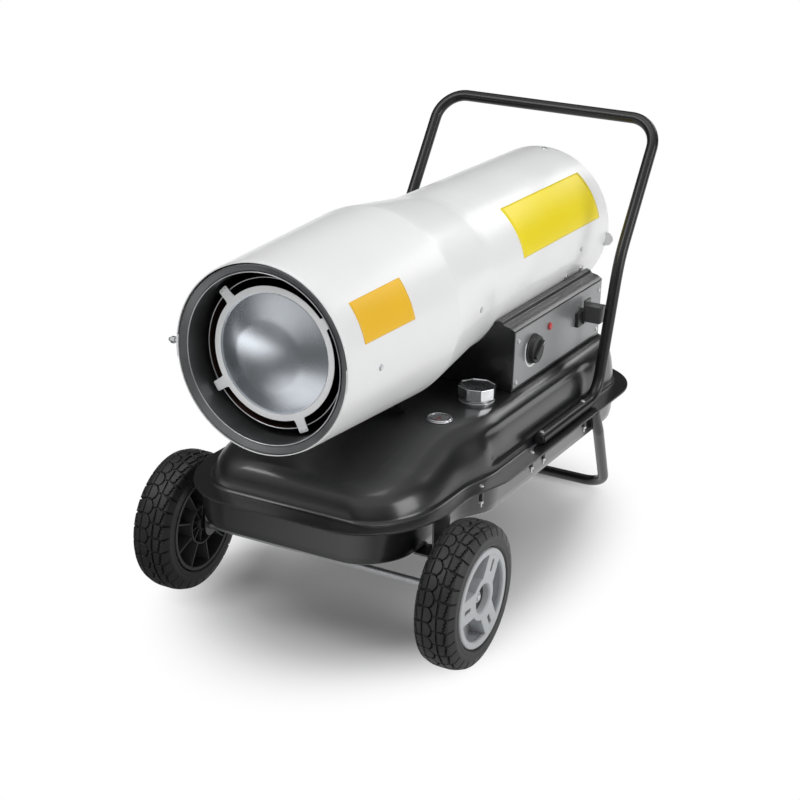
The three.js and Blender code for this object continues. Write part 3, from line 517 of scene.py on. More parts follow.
def skin(rings):
    """Skin through rings; both ends are closed by rows that run from side to side."""
    count, half, across = len(rings[0]), len(rings[0]) // 2, 18
    verts = [tuple(p) for ring in rings for p in ring]
    faces = grid(len(rings), count, around=True)
    for ring in (rings[0], rings[-1]):
        faces += grid(half + 1, across + 1, len(verts))
        verts += [tuple(mix(ring[i], ring[-i], n / across))
                  for i in range(half + 1) for n in range(across + 1)]
    return verts, faces


def shoulder_rings(base, top, low, drop, count):
    rings = []
    for across, up in through(SHOULDER, count):
        plan = mix(base, top, across)
        crest = tank_top_at(top[:, 1]) - drop
        rings.append(np.column_stack([plan, mix(low, crest, up)]))
    return rings


def upper_tank():
    foot = 5.0
    outside = [ring_at(inset(FLANGE_EDGE, 0.8), FLANGE_TOP)]
    for a in (0, 22, 45, 68):
        out, rise = foot * (1 - math.sin(rad(a))), foot * (1 - math.cos(rad(a)))
        outside.append(ring_at(inset(UPPER_BASE, -out), FLANGE_TOP + rise))
    walls = shoulder_rings(UPPER_BASE, UPPER_TOP, FLANGE_TOP, 0, 44)
    outside += [side_recess(w) for w in walls if w[:, 2].max() > FLANGE_TOP + foot + 0.5]
    low = FLANGE_MID + GAP / 2
    inside = shoulder_rings(inset(UPPER_BASE, SHEET), inset(UPPER_TOP, SHEET), low, SHEET, 12)
    inside = [side_recess(w) for w in inside]
    rings = [*inside[::-1], ring_at(inset(FLANGE_EDGE, 0.4), low), ring_at(FLANGE_EDGE, low + 0.4),
             ring_at(FLANGE_EDGE, FLANGE_TOP - 0.6), *outside]
    piece = build("tank_top_shell", *skin(rings), "black_paint", replaces="tank_upper_shell", sharp=50)
    for centre, radius in ((CAP, 24.0), (GAUGE, 17.4), (FUEL_PIPE, 5.0)):
        carve(piece, turned("z", [(300, 0), (300, radius), (350, radius), (350, 0)], centre, 64))


def lower_tank():
    low = FLANGE_LOW + 0.4
    corners = [(-6, FLANGE_LOW, 0), (0, FLANGE_LOW, 3), (4, 202, 8), (6.5, 190, 6), (16, 187, 12),
               (26, 187, 0)]
    steps = fillet(corners, steps=5)[1:]
    outside = [ring_at(inset(LOWER_WALL, d), z) for d, z in steps]
    top = FLANGE_MID - GAP / 2
    inner = [(d + SHEET, z + SHEET if z < 240 else top) for d, z in steps[4:]]
    inside = [ring_at(inset(LOWER_WALL, d), z) for d, z in inner]
    rings = [*outside[::-1], ring_at(inset(FLANGE_EDGE, 0.5), FLANGE_LOW), ring_at(FLANGE_EDGE, low),
             ring_at(FLANGE_EDGE, top - 0.3), ring_at(inset(FLANGE_EDGE, 0.3), top), *inside]
    build("tank_bottom_shell", *skin(rings), "black_paint", replaces="tank_lower_shell", sharp=50)


upper_tank()
lower_tank()


# ------------ filler and gauge

# angle of one corner of the cap's octagon
CAP_TURN = 38


def filler():
    neck = [(340.3, 23), (340.3, 32), (343.3, 32, 1.2), (343.3, 27, 0.8), (352, 27, 0.8), (352, 23, 0.8)]
    spin("filler_neck_ring", "z", CAP, 64, neck, "zinc_steel", replaces="filler_neck")
    cup = [(271, 0), (271, 21.2), (352.3, 21.2), (352.3, 26), (353.3, 26), (353.3, 20), (272.2, 20),
           (272.2, 0)]
    spin("strainer_cup", "z", CAP, 64, cup, "brass", replaces="fuel_strainer")
    # the grip is an octagon, the bore under it is round
    stations = [(355.9, 0, 0), (355.9, 28.4, 0), (347.5, 28.4, 0), (347.5, 34.5, 1), (368, 34.5, 1),
                (368, 32.8, 1), (366.6, 31.6, 1), (366.6, 12, 0), (367.1, 10, 0), (367.1, 0, 0)]
    verts, per_side = [], 6
    for z, r, angular in stations:
        for k in range(8 * per_side):
            edge, part = divmod(k, per_side)
            ends = [np.array(polar((0, 0), CAP_TURN + 45 * n, 1)) for n in (edge, edge + 1)]
            spot = mix(*ends, part / per_side)
            if not angular:
                spot = spot / np.linalg.norm(spot)
            verts.append((*(CAP + r * spot), z))
    cap = build("cap_shell", verts, grid(len(stations), 8 * per_side, around=True), "cap_zinc", body="cap",
                slot="zinc_steel", replaces="filler_cap", sharp=24)
    soften(cap, 0.8, 3)


FLOAT_PIVOT_Z = 315
ARM_DROP = rad(62)
NEEDLE_SWEEP = 77


def gauge():
    body = fillet([(322, 4), (322, 16.8), (340.3, 16.8), (340.3, 23, 0.4), (341.3, 23.0, 0.5),
                   (341.9, 21.9, 0.5), (343.6, 21.5, 0.6), (344.6, 20.5, 0.6), (344.6, 19.3, 0.4),
                   (344.2, 18.8, 0.2), (341.2, 18.7), (341.2, 4)], steps=3)
    x, y = GAUGE
    ears = [block((x + s * 8.5 - 1, y - 5, 309), (x + s * 8.5 + 1, y + 5, 324)) for s in (-1, 1)]
    build("gauge_bezel", *together(turned("z", body, GAUGE, 72), *ears), "cap_zinc", slot="zinc_steel",
          replaces="gauge_body")
    face = [(341.22, 0), (341.22, 18.4), (341.36, 18.4), (341.36, 0)]
    spin("gauge_face", "z", GAUGE, 64, face, "dial_face", slot="zinc_steel")
    marks = [strip(GAUGE, -90 - NEEDLE_SWEEP * k / 8, 12 if k % 4 == 0 else 14, 17, 0.4) for k in range(9)]
    marks = [slab("z", mark, 341.3, 341.46, bevel=0.05, resolution=0) for mark in marks]
    build("gauge_marks", *together(*marks), "black_plastic")
    lens = [(343, 0), (343, 18.4), (343.5, 18.4, 0.3), (344.1, 15.5, 2), (344.3, 0)]
    spin("gauge_window", "z", GAUGE, 64, lens, "gauge_glass", replaces="gauge_lens")
    reach = lambda n: Vector((x, y - n * math.cos(ARM_DROP), FLOAT_PIVOT_Z - n * math.sin(ARM_DROP)))
    bob = reach(118)
    pin = fillet([(x - 12, 0), (x - 12, 3, 0.6), (x + 12, 3, 0.6), (x + 12, 0)])
    cork = fillet([(x - 20, 0), (x - 20, 16, 3), (x + 20, 16, 3), (x + 20, 0)])
    parts = together(tube([reach(0), reach(110)], 1.6, 12), turned("x", pin, (y, FLOAT_PIVOT_Z), 24),
                     turned("x", cork, (bob.y, bob.z), 40))
    build("float_and_arm", *parts, "float_foam", body="float", replaces="float_arm")
    dress("gauge_needle", "red_plastic", 0.2)


filler()
gauge()


# ------------ wheels, axle and tubes

def zigzag(phase):
    """A row of rounded crests joined by sharp dips, from -1 to 1, for the middle groove of the tread."""
    return 2 * np.abs(np.sin(math.pi * phase)) ** 0.6 - 1


TREAD_COUNT = 30
TREAD_PITCH = 2 * math.pi * WHEEL_R / TREAD_COUNT
TREAD_EDGE = 46.0
TREAD_CUT = 3.0


def tread_depth(s, t):
    """How far the tread is cut at arc length s and offset t across, from 0 to 1."""
    phase = s / TREAD_PITCH
    cut = lambda distance, width: smooth(1 - (np.abs(distance) - width / 2) / 0.7)
    depth = cut(t - 4.3 * zigzag(phase), 2.1)
    for side, shift in ((-1, 0.0), (1, 0.5)):
        across = side * t
        here = (phase + shift) % 1.0
        tooth = np.abs(2 * ((here * 4) % 1.0) - 1) * 2 - 1
        depth = np.maximum(depth, cut(across - 13.0, 2.0))
        depth = np.maximum(depth, cut(across - 28.0 + 4.2 * here - 1.2 * tooth, 1.9))
        # the cross cut runs from the middle groove out over the shoulder
        link = ((here + 0.5) % 1.0 - 0.5) * TREAD_PITCH + 1.4 * np.sin(across / 7.0)
        reach = smooth((across - 3.6) / 1.2) * smooth((TREAD_EDGE - across) / 3.0)
        depth = np.maximum(depth, cut(link, 2.2) * reach)
    return depth


def tyre(side, name):
    around = 900
    section = fillet([(-32, 85.3), (-36, 90, 3), (-36, 104, 10), (-30, 119, 9), (-14, 124.6, 30),
                      (14, 124.6, 30), (30, 119, 9), (36, 104, 10), (36, 90, 3), (32, 85.3)], steps=6)
    section = np.array(section)
    lengths = np.concatenate([[0], np.cumsum(np.linalg.norm(np.diff(section, axis=0), axis=1))])
    half = lengths[-1] / 2
    middle = np.concatenate([np.linspace(-half, -TREAD_EDGE, 14, endpoint=False),
                             np.linspace(-TREAD_EDGE, TREAD_EDGE, 108, endpoint=False),
                             np.linspace(TREAD_EDGE, half, 15)])
    stations, across = middle + half, len(middle)
    line = np.column_stack([np.interp(stations, lengths, section[:, k]) for k in (0, 1)])
    slope = np.gradient(line, axis=0)
    normal = np.column_stack([-slope[:, 1], slope[:, 0]])
    normal /= np.linalg.norm(normal, axis=1)[:, None]
    angle = np.arange(around) * 2 * math.pi / around
    s, t = np.meshgrid(angle * WHEEL_R, middle, indexing="ij")
    depth = tread_depth(s, t)
    rib = 0.5 * smooth(1 - np.abs(line[None, :, 1] - 96) / 1.5) * (np.abs(line[None, :, 0]) > 33)
    push = -TREAD_CUT * depth - rib
    x = line[None, :, 0] + normal[None, :, 0] * push
    r = np.minimum(line[None, :, 1] + normal[None, :, 1] * push, WHEEL_R)
    verts = np.stack([side * WHEEL_X + x, r * np.cos(angle)[:, None],
                      WHEEL_R + r * np.sin(angle)[:, None]], -1).reshape(-1, 3)
    piece = build("tyre_tread_" + name, verts, grid(around, across, around=True, wrap=True), "tyre_rubber",
                  body="wheel_" + name, replaces="tyre_" + name, sharp=60)
    # the depth of the cuts, which drives the painted shade in the grooves
    shade = piece.data.attributes.new("groove", "FLOAT", "POINT")
    shade.data.foreach_set("value", depth.reshape(-1).astype(np.float32))


# middle angles of the three pockets between the wheel's spokes
WINDOWS = (0, 120, 240)


def ring_slot(top, low, corner):
    """A slot between an outer and an inner arc, with rounded corners."""
    return fillet([(*top[0], corner), *top[1:-1], (*top[-1], corner),
                   (*low[0], corner), *low[1:-1], (*low[-1], corner)])


def window_outline(middle, inner, outer, grow, corner):
    """One of the three pockets between the spokes, as (y, z)."""
    return ring_slot(arc(outer, middle - 43 - grow, middle + 43 + grow, 24, AXLE),
                     arc(inner, middle + 24 + grow, middle - 24 - grow, 12, AXLE), corner)


def spoke_gaps():
    gaps = [window_outline(middle, 37, 74, 0, 4) for middle in WINDOWS]
    slots = [strip(AXLE, middle + 60, 46, 67, 3.4, 2.2) for middle in WINDOWS]
    return [*gaps, *slots, circle(26, 64, AXLE)]


def rim(side, name):
    out = TYRE_HALF - 0.2
    floor = out - 31
    hoop = [(2.1, 80.3), (2.1, 85), (out - 2, 85, 1), (out, 83.5, 1.2), (out, 74.5, 1.5),
            (out - 2.5, 73, 1), (out - 7, 73, 1), (out - 9, 76, 2), (6, 80, 4)]
    inner_hoop = [(-out, 79, 1), (-out, 85, 1), (1.9, 85), (1.9, 80.2), (-out + 10, 79.4, 2)]
    hub = [(floor + 2.2, AXLE_BORE), (floor + 2.2, 15), (out - 17, 19.5, 2), (out - 17, 27.5, 2),
           (floor, 28, 0.8), (floor, 31, 0.8), (out - 0.3, 31, 2.4), (out - 0.3, 27, 2), (out - 3, 24.6, 2),
           (out - 11.5, 22.9, 1), (out - 13, 22.7, 0.4), (out - 13, AXLE_BORE)]
    inner_hub = [(-out, AXLE_BORE), (-out, 11, 1.5), (-out + 6, 12.5, 1), (floor + 2, 14.8),
                 (floor + 2, AXLE_BORE)]
    collar = [(-out, 34.2, 0.8), (-out, 37, 0.8), (floor + 1, 37.4), (floor + 1, 34.2)]
    bearing = [(out - 12.9, 6.4), (out - 12.9, 22.2), (out - 12.2, 22.2, 0.3), (out - 12.2, 6.4)]
    part = lambda profile, sides: turned("x", fillet(profile, steps=3), AXLE, sides)
    disc = [part(hoop, 120), part(hub, 72),
            slab("x", circle(78, 96, AXLE), out - 7, out - 0.6, spoke_gaps(), bevel=1.3, resolution=3)]
    for middle in WINDOWS:
        shell = window_outline(middle, 35.5, 80, 2, 4)
        disc.append(slab("x", shell, floor, out - 5, [window_outline(middle, 37, 76, 0, 3)], bevel=0.3))
        disc.append(slab("x", shell, floor, floor + 2.5, bevel=0.9))
    # the inner side of the wheel takes the darker copy of the rim plastic: painted shade where the tank
    # shades it
    core = [part(inner_hoop, 120), part(inner_hub, 72), part(collar, 72)]
    # stiffening ribs round the hub on both sides, and from the collar to the hoop on the inner side:
    # their number and the first one's angle, where they start and end along x and out from the axle,
    # and half of their thickness
    for to, number, first, low, high, inner, outer, half in (
            (disc, 10, 0, floor + 1, out - 16, 13, 29, 0.9),
            (core, 10, 12, -out + 5, floor + 1.5, 11, 35, 1.0),
            (core, 9, 2, -out + 1.2, floor + 1.5, 36.4, 79.6, 1.2)):
        for k in range(number):
            stiff, faces = block((low, inner, -half), (high, outer, half))
            angle = 360 // number * k + first
            to.append(([(x, *polar(AXLE, angle, y, z)) for x, y, z in stiff], faces))
    ring = turned("x", fillet(bearing), AXLE, 48)
    for word, parts, look, slot, old, sharp in (
            ("bearing_", [ring], "black_plastic", None, None, 35),
            ("core_", core, "rim_plastic_shaded", "rim_plastic", None, 32),
            ("disc_", disc, "rim_plastic", None, "wheel_rim_" + name, 32)):
        verts, faces = together(*parts)
        verts = [(side * (WHEEL_X + x), y, z) for x, y, z in verts]
        build("wheel_" + word + name, verts, faces, look, "wheel_" + name, slot, old, sharp)


def axle_set():
    end, face = WHEEL_X + TYRE_HALF - 8, WHEEL_X + TYRE_HALF - 10
    bar = [(-end, 0), (-end, 6, 1.2), (end, 6, 1.2), (end, 0)]
    spin("axle_bar", "x", AXLE, 40, bar, "zinc_steel", replaces="axle")
    for side, name in SIDES:
        low = face - 2.8
        clip = [(low, AXLE_BORE), (low, 10, 0.5), (low + 1.2, 10, 0.5), (face, 8.5, 0.8), (face, AXLE_BORE)]
        clip = [(side * s, *r) for s, *r in clip]
        spin("axle_cap_" + name, "x", AXLE, 48, clip, "zinc_steel", steps=3, replaces="axle_clip_" + name)
        tyre(side, name)
        rim(side, name)
        dress("axle_plate_" + name, "black_paint", 0.8)


HANDLE_X = 232.5
HANDLE_RUN_Z = FLANGE_TOP + GAP + TUBE_R


def mirrored(half):
    return [*half, *[(-c[0], *c[1:]) for c in half[::-1]]]


def bent_tubes():
    handle = mirrored([(HANDLE_X, 370, HANDLE_RUN_Z), (HANDLE_X, 632, HANDLE_RUN_Z, 55),
                       (HANDLE_X, 700, 520, 220), (HANDLE_X, 856, 757, 56)])
    build("handle_tube", *tube(route(handle), TUBE_R, 36, TUBE_R - 1.5), "black_tube",
          slot="black_paint", replaces="handle", sharp=50)
    plug = [(368.2, 0), (368.2, 8.8, 2.5), (370, 9.4, 0.4), (384, 9.4), (384, 0)]
    for side, word in SIDES:
        spin("handle_plug_" + word, "y", (side * HANDLE_X, HANDLE_RUN_Z), 36, plug, "black_plastic")
    points = route(mirrored([(246.5, 585, 264), (239.5, 640, 193, 90), (197, 808, LEG_R, 55)]))
    top = FLANGE_LOW - GAP
    cuts = []
    for a, b in ((0, 1), (-1, -2)):
        t = (points[a].z - top) / (points[a].z - points[b].z)
        cuts.append(points[a].lerp(points[b], t))
    points = [cuts[0], *points[1:-1], cuts[1]]
    verts, faces = tube(points, LEG_R, 36, LEG_R - 1.5)
    verts = [(x, y, min(z, top)) for x, y, z in verts]
    build("leg_tube", verts, faces, "black_tube", slot="black_paint", replaces="rear_leg", sharp=50)


axle_set()
bent_tubes()


# ------------ barrel

JACKET = [(-193.0, 155.5, 0), (-186.0, 156.8, 3), (150.0, 171.2, 26), (165.0, 169.8, 26),
          (325.0, 150.6, 30), (345.0, 149.4, 30), (850.0, 148.0, 0)]
LAP = SHEET + GAP


def jacket_line(drop):
    """Outer face of the jacket as (y, radius), with soft bends and straight runs cut short."""
    line = fillet([(y, r - drop, bend) for y, r, bend in JACKET], steps=6)
    fine = [line[0]]
    for a, b in zip(line, line[1:]):
        steps = max(1, round(abs(b[0] - a[0]) / 25))
        fine += [(mix(a[0], b[0], k / steps), mix(a[1], b[1], k / steps)) for k in range(1, steps + 1)]
    return fine


# height of a half's edges over the barrel's axis
UPPER_EDGE, LOWER_EDGE = -22.0, 14.0


def jacket_half(name, drop, upper, node):
    """One half of the jacket; it reaches past the middle, so that the halves lap at both sides."""
    outside = jacket_line(drop)
    section = [*outside, *[(y, r - SHEET) for y, r in outside[::-1]]]
    count, verts = 120, []
    for y, r in section:
        limit = math.asin((UPPER_EDGE if upper else LOWER_EDGE) / r)
        first, last = (limit, math.pi - limit) if upper else (math.pi - limit, 2 * math.pi + limit)
        for k in range(count + 1):
            a = mix(first, last, k / count)
            verts.append((r * math.cos(a), y, BARREL_Z + r * math.sin(a)))
    rows, wide = len(section), count + 1
    faces = grid(rows, wide, wrap=True)
    for k in (0, count):
        faces += seal(range(k, rows * wide, wide))
    build(name, verts, faces, "white_paint", replaces=node, sharp=40)


TAB_ANGLES = (36, 137, 215, 296)
# rear guard: inner and outer radius of a ring of slots, their number and the first one's angle
GUARD_SLOTS = ((22, 64, 4, 0), (68, 102, 8, 19), (106, 138, 8, 7))
HALF_BAR = 2


def baffle():
    parts = [slab("y", circle(109, 144, BARREL), -154.2, -152.6, [circle(98.6, 120, BARREL)], bevel=0.5)]
    for angle in TAB_ANGLES:
        tab = [(106, -11), (113, -9, 2.5), (131, -8.6, 2.5), (131, 8.6, 2.5), (113, 9, 2.5), (106, 11)]
        tab = fillet([(*polar(BARREL, angle, along, wide), *r) for along, wide, *r in tab])
        parts.append(slab("y", tab, -154.3, -152.7, bevel=0.4))
        for wide in (-4.2, 4.2):
            rivet = [(-154.0, 0), (-154.0, 2.3), (-155.4, 1.9), (-155.9, 0)]
            parts.append(turned("y", rivet, polar(BARREL, angle, 126.5, wide), 14))
    build("baffle_plate", *together(*parts), "pale_steel", replaces="baffle_ring")
    seat, thick = -152.3, 1.3
    # a steep outer band round a flatter domed middle
    edge, middle, steep, flat = 97.8, 58.0, 0.43, 0.28
    slopes = lambda r: mix(flat * r / middle, steep, float(smooth((r - middle + 6) / 12)))
    step, levels = 1.5, [0.0]
    while len(levels) * step < edge:
        levels.append(levels[-1] + step * slopes((len(levels) - 0.5) * step))
    rise = lambda r: levels[-1] - float(np.interp(r, [k * step for k in range(len(levels))], levels))
    radii = [0, *[k * step for k in range(1, len(levels) - 1)], edge - 0.6]
    front = [(seat - rise(r), r) for r in radii] + [(seat - 0.05, 99.5)]
    rim_line = [(seat, 104), (seat + thick, 104), (seat + thick, 99.5)]
    back = [(seat + thick - rise(r), r) for r in radii[::-1]]
    spin("baffle_dish", "y", BARREL, 128, [*front, *rim_line, *back], "baffle_stainless",
         replaces="baffle_dome", sharp=60)


def outlet():
    collar = [(-168, 151.9), (-192.5, 151.9, 1.6), (-185.5, 139.5, 1.0), (-184.4, 141), (-190.6, 150.0),
              (-168, 150.5)]
    spin("outlet_ring", "y", BARREL, 144, collar, "heat_steel", replaces="outlet_collar")
    liner = [(-187, 137.6, 0.5), (-187, 139, 0.5), (300, 139), (300, 137.6)]
    spin("liner_tube", "y", BARREL, 120, liner, "heat_steel", replaces="outer_liner")
    chamber = [(-152, 121.2, 0.5), (-152, 122.6, 0.5), (252, 122.6, 2), (252, 62), (250.6, 62),
               (250.6, 121.2)]
    spin("chamber_tube", "y", BARREL, 120, chamber, "soot_steel", slot="heat_steel",
         replaces="combustion_chamber")
    for name, centre in (("liner_lip", (-187.0, 138.4)), ("chamber_lip", (-151.4, 121.9))):
        spin(name, "y", BARREL, 144, circle(1.0, 8, centre), "zinc_steel", slot="heat_steel", sharp=60)
    slots = []
    for inner, outer, number, turn in GUARD_SLOTS:
        for k in range(number):
            first, step = 360 / number * k + turn, 360 / number
            near, far = (math.degrees(math.asin(HALF_BAR / r)) for r in (inner, outer))
            slots.append(ring_slot(arc(outer, first + far, first + step - far, 16, BARREL),
                                   arc(inner, first + step - near, first + near, 10, BARREL), 3))
    guard = slab("y", circle(144, 144, BARREL), 842, 844, slots, bevel=0.7)
    build("rear_guard", *guard, "black_paint", replaces="intake_guard")


jacket_half("barrel_top_half", 0, True, "barrel_upper_shell")
jacket_half("barrel_bottom_half", LAP, False, "barrel_lower_shell")
baffle()
outlet()


# ------------ fan and motor

BLADES = 5
FAN_MIDDLE, FAN_HALF = 490, 17.5


def fan_blade(angle):
    """A cambered, twisted blade, cut off where the hub's width ends."""
    verts, rows, cols = [], 12, 10
    for i in range(rows):
        along = i / (rows - 1)
        radius = mix(27, 135.5, along)
        half = mix(20, 27, smooth(along * 1.3)) * (1 - 0.25 * smooth((along - 0.8) / 0.2))
        pitch = rad(mix(44, 26, along))
        for layer in (-1, 1):
            for j in range(cols)[::-layer]:
                w = mix(-half, half, j / (cols - 1))
                bulge = 3.5 * (1 - (w / half) ** 2) + layer * 0.6
                x = w * math.cos(pitch) - bulge * math.sin(pitch)
                y = w * math.sin(pitch) + bulge * math.cos(pitch)
                a = angle - x / max(radius, 60.0) * 0.9
                verts.append((-radius * math.sin(a), FAN_MIDDLE + max(-FAN_HALF, min(FAN_HALF, y)),
                              BARREL_Z + radius * math.cos(a)))
    faces = grid(rows, 2 * cols, around=True)
    for start in (0, (rows - 1) * 2 * cols):
        faces += seal(range(start, start + 2 * cols))
    return verts, faces


def fan_set():
    hub = fillet([(472, 6.3), (472, 24, 2), (476, 30, 3), (506, 30, 1.5), (508, 28, 1), (508, 6.3)])
    parts = [turned("y", hub, BARREL, 64), *[fan_blade(rad(360 / BLADES * k)) for k in range(BLADES)]]
    build("fan_wheel", *together(*parts), "cast_aluminium", body="fan_rotor", replaces="fan")
    motor = [(548, 6.5), (548, 14, 1), (556, 14, 2), (556, 48, 4), (564, 56, 3), (676, 56, 3), (684, 48, 4),
             (684, 14, 2), (690, 14, 1), (690, 6.5)]
    spin("motor_case", "y", BARREL, 96, motor, "motor_paint", replaces="motor")
    shaft = [(462, 0), (462, 6, 1), (716, 6, 1), (716, 0)]
    spin("shaft_bar", "y", BARREL, 40, shaft, "zinc_steel", body="fan_rotor", replaces="motor_shaft")
    cover = [(718.4, 0), (718.4, 38, 0.6), (726, 38, 1.5), (726, 30, 2), (746, 27, 3), (746, 0)]
    spin("pump_cover", "y", BARREL, 72, cover, "cast_aluminium", replaces="air_pump_cover")


fan_set()


# ------------ control box and panel

def screw(name, place, direction, radius, height):
    """Pan head screw with a sunk middle, on a surface at place, pointing out along direction."""
    profile = [(-0.6, 0), (-0.6, radius * 0.98), (0.1, radius), (height * 0.35, radius * 0.97),
               (height * 0.72, radius * 0.78), (height * 0.95, radius * 0.42), (height, 0)]
    verts, faces = turned("z", profile, (0, 0), 28)
    turn = Vector((0, 0, 1)).rotation_difference(Vector(direction).normalized())
    for k, (x, y, z) in enumerate(verts):
        if math.hypot(x, y) < radius * 0.5 and z > height * 0.6:
            z -= height * 0.35
        verts[k] = tuple(turn @ Vector((x, y, z)) + Vector(place))
    build(name, verts, faces, "zinc_steel")


KNOB_TURN = 38
KNOB_FLUTES = 30
FLUTE_SHARE = 0.022
SCALE_ENDS = (148, 312)


def controls():
    dress("control_box", "black_paint", 0.9, 3)
    dress("control_panel", "panel_grey", 0.5)
    for k, (y, z) in enumerate(((381, 434), (379, 357), (752, 436), (751, 357))):
        screw(f"panel_screw_{k + 1}", (PANEL_X, y, z), (1, 0, 0), 4.6, 2.4)
    shaft = fillet([(150, 0), (150, 4.5), (176.3, 4.5), (176.3, 27.6, 0.4), (178, 28, 0.5), (179, 26.4, 0.6),
                    (187, 25.2, 1.2), (188, 24, 0.8), (187.4, 22), (186.6, 0)])
    verts, faces = turned("x", shaft, KNOB, 120)
    verts = np.array(verts)
    arm = verts[:, 1:] - KNOB
    fluted = (verts[:, 0] > 179.5) & (verts[:, 0] < 187.6) & (np.hypot(*arm.T) > 23)
    depth = FLUTE_SHARE * (0.5 + 0.5 * np.cos(np.arctan2(arm[:, 1], arm[:, 0]) * KNOB_FLUTES))
    verts[:, 1:] = KNOB + arm * np.where(fluted, 1 - depth, 1.0)[:, None]
    bar = slab("x", strip(KNOB, KNOB_TURN, -21.5, 21.5, 4.6, 4.2, 6), 184, 193, bevel=1.2, resolution=3)
    build("knob_body", *together((verts.tolist(), faces), bar), "black_plastic", body="knob",
          replaces="thermostat_knob")
    mark = slab("x", strip(KNOB, KNOB_TURN, 12, 20, 0.7), 192.8, 193.2, bevel=0.05)
    build("knob_mark", *mark, "white_print", body="knob", slot="black_plastic")
    first, last = SCALE_ENDS
    ring = [*arc(34.2, first, last, 48, KNOB), *arc(30.8, last, first, 48, KNOB)]
    scale = slab("x", ring, 176.0, 176.25, bevel=0.05, resolution=0)
    build("knob_scale", *scale, "white_print", slot="panel_grey")
    lens = [(162, 0), (162, 5.2), (176.3, 5.2), (176.3, 7, 0.4), (178, 7, 0.6), (180.2, 5.2, 1.5),
            (181, 2, 1), (181, 0)]
    spin("lamp_lens", "x", PANEL_LAMP, 40, lens, "red_plastic", steps=3, replaces="indicator_lamp")
    dress("panel_socket", "black_plastic", 1.2, 3)
    dress("panel_plug", "plug_plastic", 1.6, 3)


controls()


# ------------ small fasteners and labels

def through_bolt(name, *place):
    """The end of a bolt below the tank flange, with its spacer sleeve and nut."""
    stem = fillet([(214.5, 0), (214.5, 2.2, 0.5), (224, 2.2), (224, 0)])
    nut = fillet([(221.5, 0), (221.5, 4.8, 0.5), (225.5, 4.8, 0.5), (225.5, 0)])
    build(name, *together(turned("z", stem, place, 20), turned("z", nut, place, 6)), "zinc_steel", sharp=25)
    sleeve = [(225.6, 0), (225.6, 3.6, 0.4), (249, 3.6), (249, 0)]
    spin(name + "_sleeve", "z", place, 20, sleeve, "black_paint")


def tank_fasteners():
    up, head = (0, 0, 1), (4.4, 2.6)
    top = HANDLE_RUN_Z + TUBE_R - 0.4
    for side, word in SIDES:
        for k, y in enumerate((379, 566)):
            screw(f"handle_bolt_{word}_{k + 1}", (side * HANDLE_X, y, top), up, *head)
            through_bolt(f"handle_nut_{word}_{k + 1}", side * 238.5, y)
        for k, (x, y) in enumerate(((228, 145), (237, 330))):
            screw(f"flange_screw_{word}_{k + 1}", (side * x, y, FLANGE_TOP), up, *head)
            through_bolt(f"flange_nut_{word}_{k + 1}", side * x, y)


def on_barrel(y, degrees, lift):
    line = jacket_line(0)
    radius = float(np.interp(y, [p[0] for p in line], [p[1] for p in line])) + lift
    x, z = polar(BARREL, degrees, radius)
    return (x, y, z)


# screws on the barrel: y, the angle round it, and how far the lower half lies below the upper one
BARREL_SCREWS = ((-100, -2.2, 0), (254, -2.4, 0), (715, -2.6, 0), (-100, 182.2, 0), (254, 182.4, 0),
                 (715, 182.6, 0), (834, 87.3, 0), (676, -22.5, LAP), (749, -22.5, LAP),
                 (676, 202.5, LAP), (749, 202.5, LAP))


def barrel_fasteners():
    for k, (y, angle, drop) in enumerate(BARREL_SCREWS):
        direction = (math.cos(rad(angle)), 0, math.sin(rad(angle)))
        screw(f"barrel_screw_{k + 1}", on_barrel(y, angle, -0.2 - drop), direction, 5.4, 3.0)
    for side, word in SIDES:
        ear = ((144, 500, 0), (157, 503, 7), (166, 515, 9), (157, 527, 7), (144, 530, 0))
        ear = fillet([(side * x, z, r) for x, z, r in ear])
        build("rear_lug_" + word, *slab("y", ear, 838, 840, bevel=0.6), "white_paint")
    stud = [(-154, 0), (-154, 3), (-169, 3), (-169, 6, 0.6), (-176, 6, 0.6), (-178, 3.6, 1), (-181, 3, 0.6),
            (-181, 0)]
    spin("collar_stud", "x", (-176, 527), 6, stud, "zinc_steel", sharp=25)


LABEL_LIFT, LABEL_THICK = 0.22, 0.2


def label(name, material, first, last, low, high):
    """A blank sticker that follows the curve of the barrel."""
    rows, cols = 24, 30
    verts = [on_barrel(mix(first, last, j / cols), mix(low, high, i / rows), LABEL_LIFT)
             for i in range(rows + 1) for j in range(cols + 1)]
    piece = build(name, verts, grid(rows + 1, cols + 1), material, slot="white_paint")
    piece.modifiers.new("thickness", "SOLIDIFY").thickness = LABEL_THICK * MM


tank_fasteners()
barrel_fasteners()
label("side_label", "label_yellow", 453, 806, 13.4, 52)
label("front_label", "label_amber", -140, 10, 14.8, 39.5)


# ------------ finishes of the carried-over solids

CARRIED_OVER = {
    "zinc_steel": ("drain_plug", "motor_bracket"), "gasket_rubber": ("cap_gasket",),
    "brass": ("fuel_pickup", "fuel_nozzle", "pressure_gauge"), "black_paint": ("barrel_saddle",),
    "cast_aluminium": ("burner_head", "air_pump_body"), "heat_steel": ("air_pump_rotor",),
    "ceramic": ("ignition_electrode_1", "ignition_electrode_2"), "board_green": ("control_board",),
    "black_plastic": ("flame_photocell", "thermostat"), "motor_paint": ("ignition_transformer",),
    "copper": ("fuel_line", "air_line"),
}
for key, names in CARRIED_OVER.items():
    for node in names:
        holder = frame["nodes"][node]
        holder.data.materials.clear()
        holder.data.materials.append(MATS[key])


# ------------ floor, light and camera

def ramp(tree, value, start, end, low, high):
    """A smooth change from low to high while value goes from start to end."""
    inputs = {"Value": value, "From Min": start, "From Max": end, "To Min": low, "To Max": high}
    return add(tree, "ShaderNodeMapRange", inputs, interpolation_type="SMOOTHSTEP").outputs["Result"]


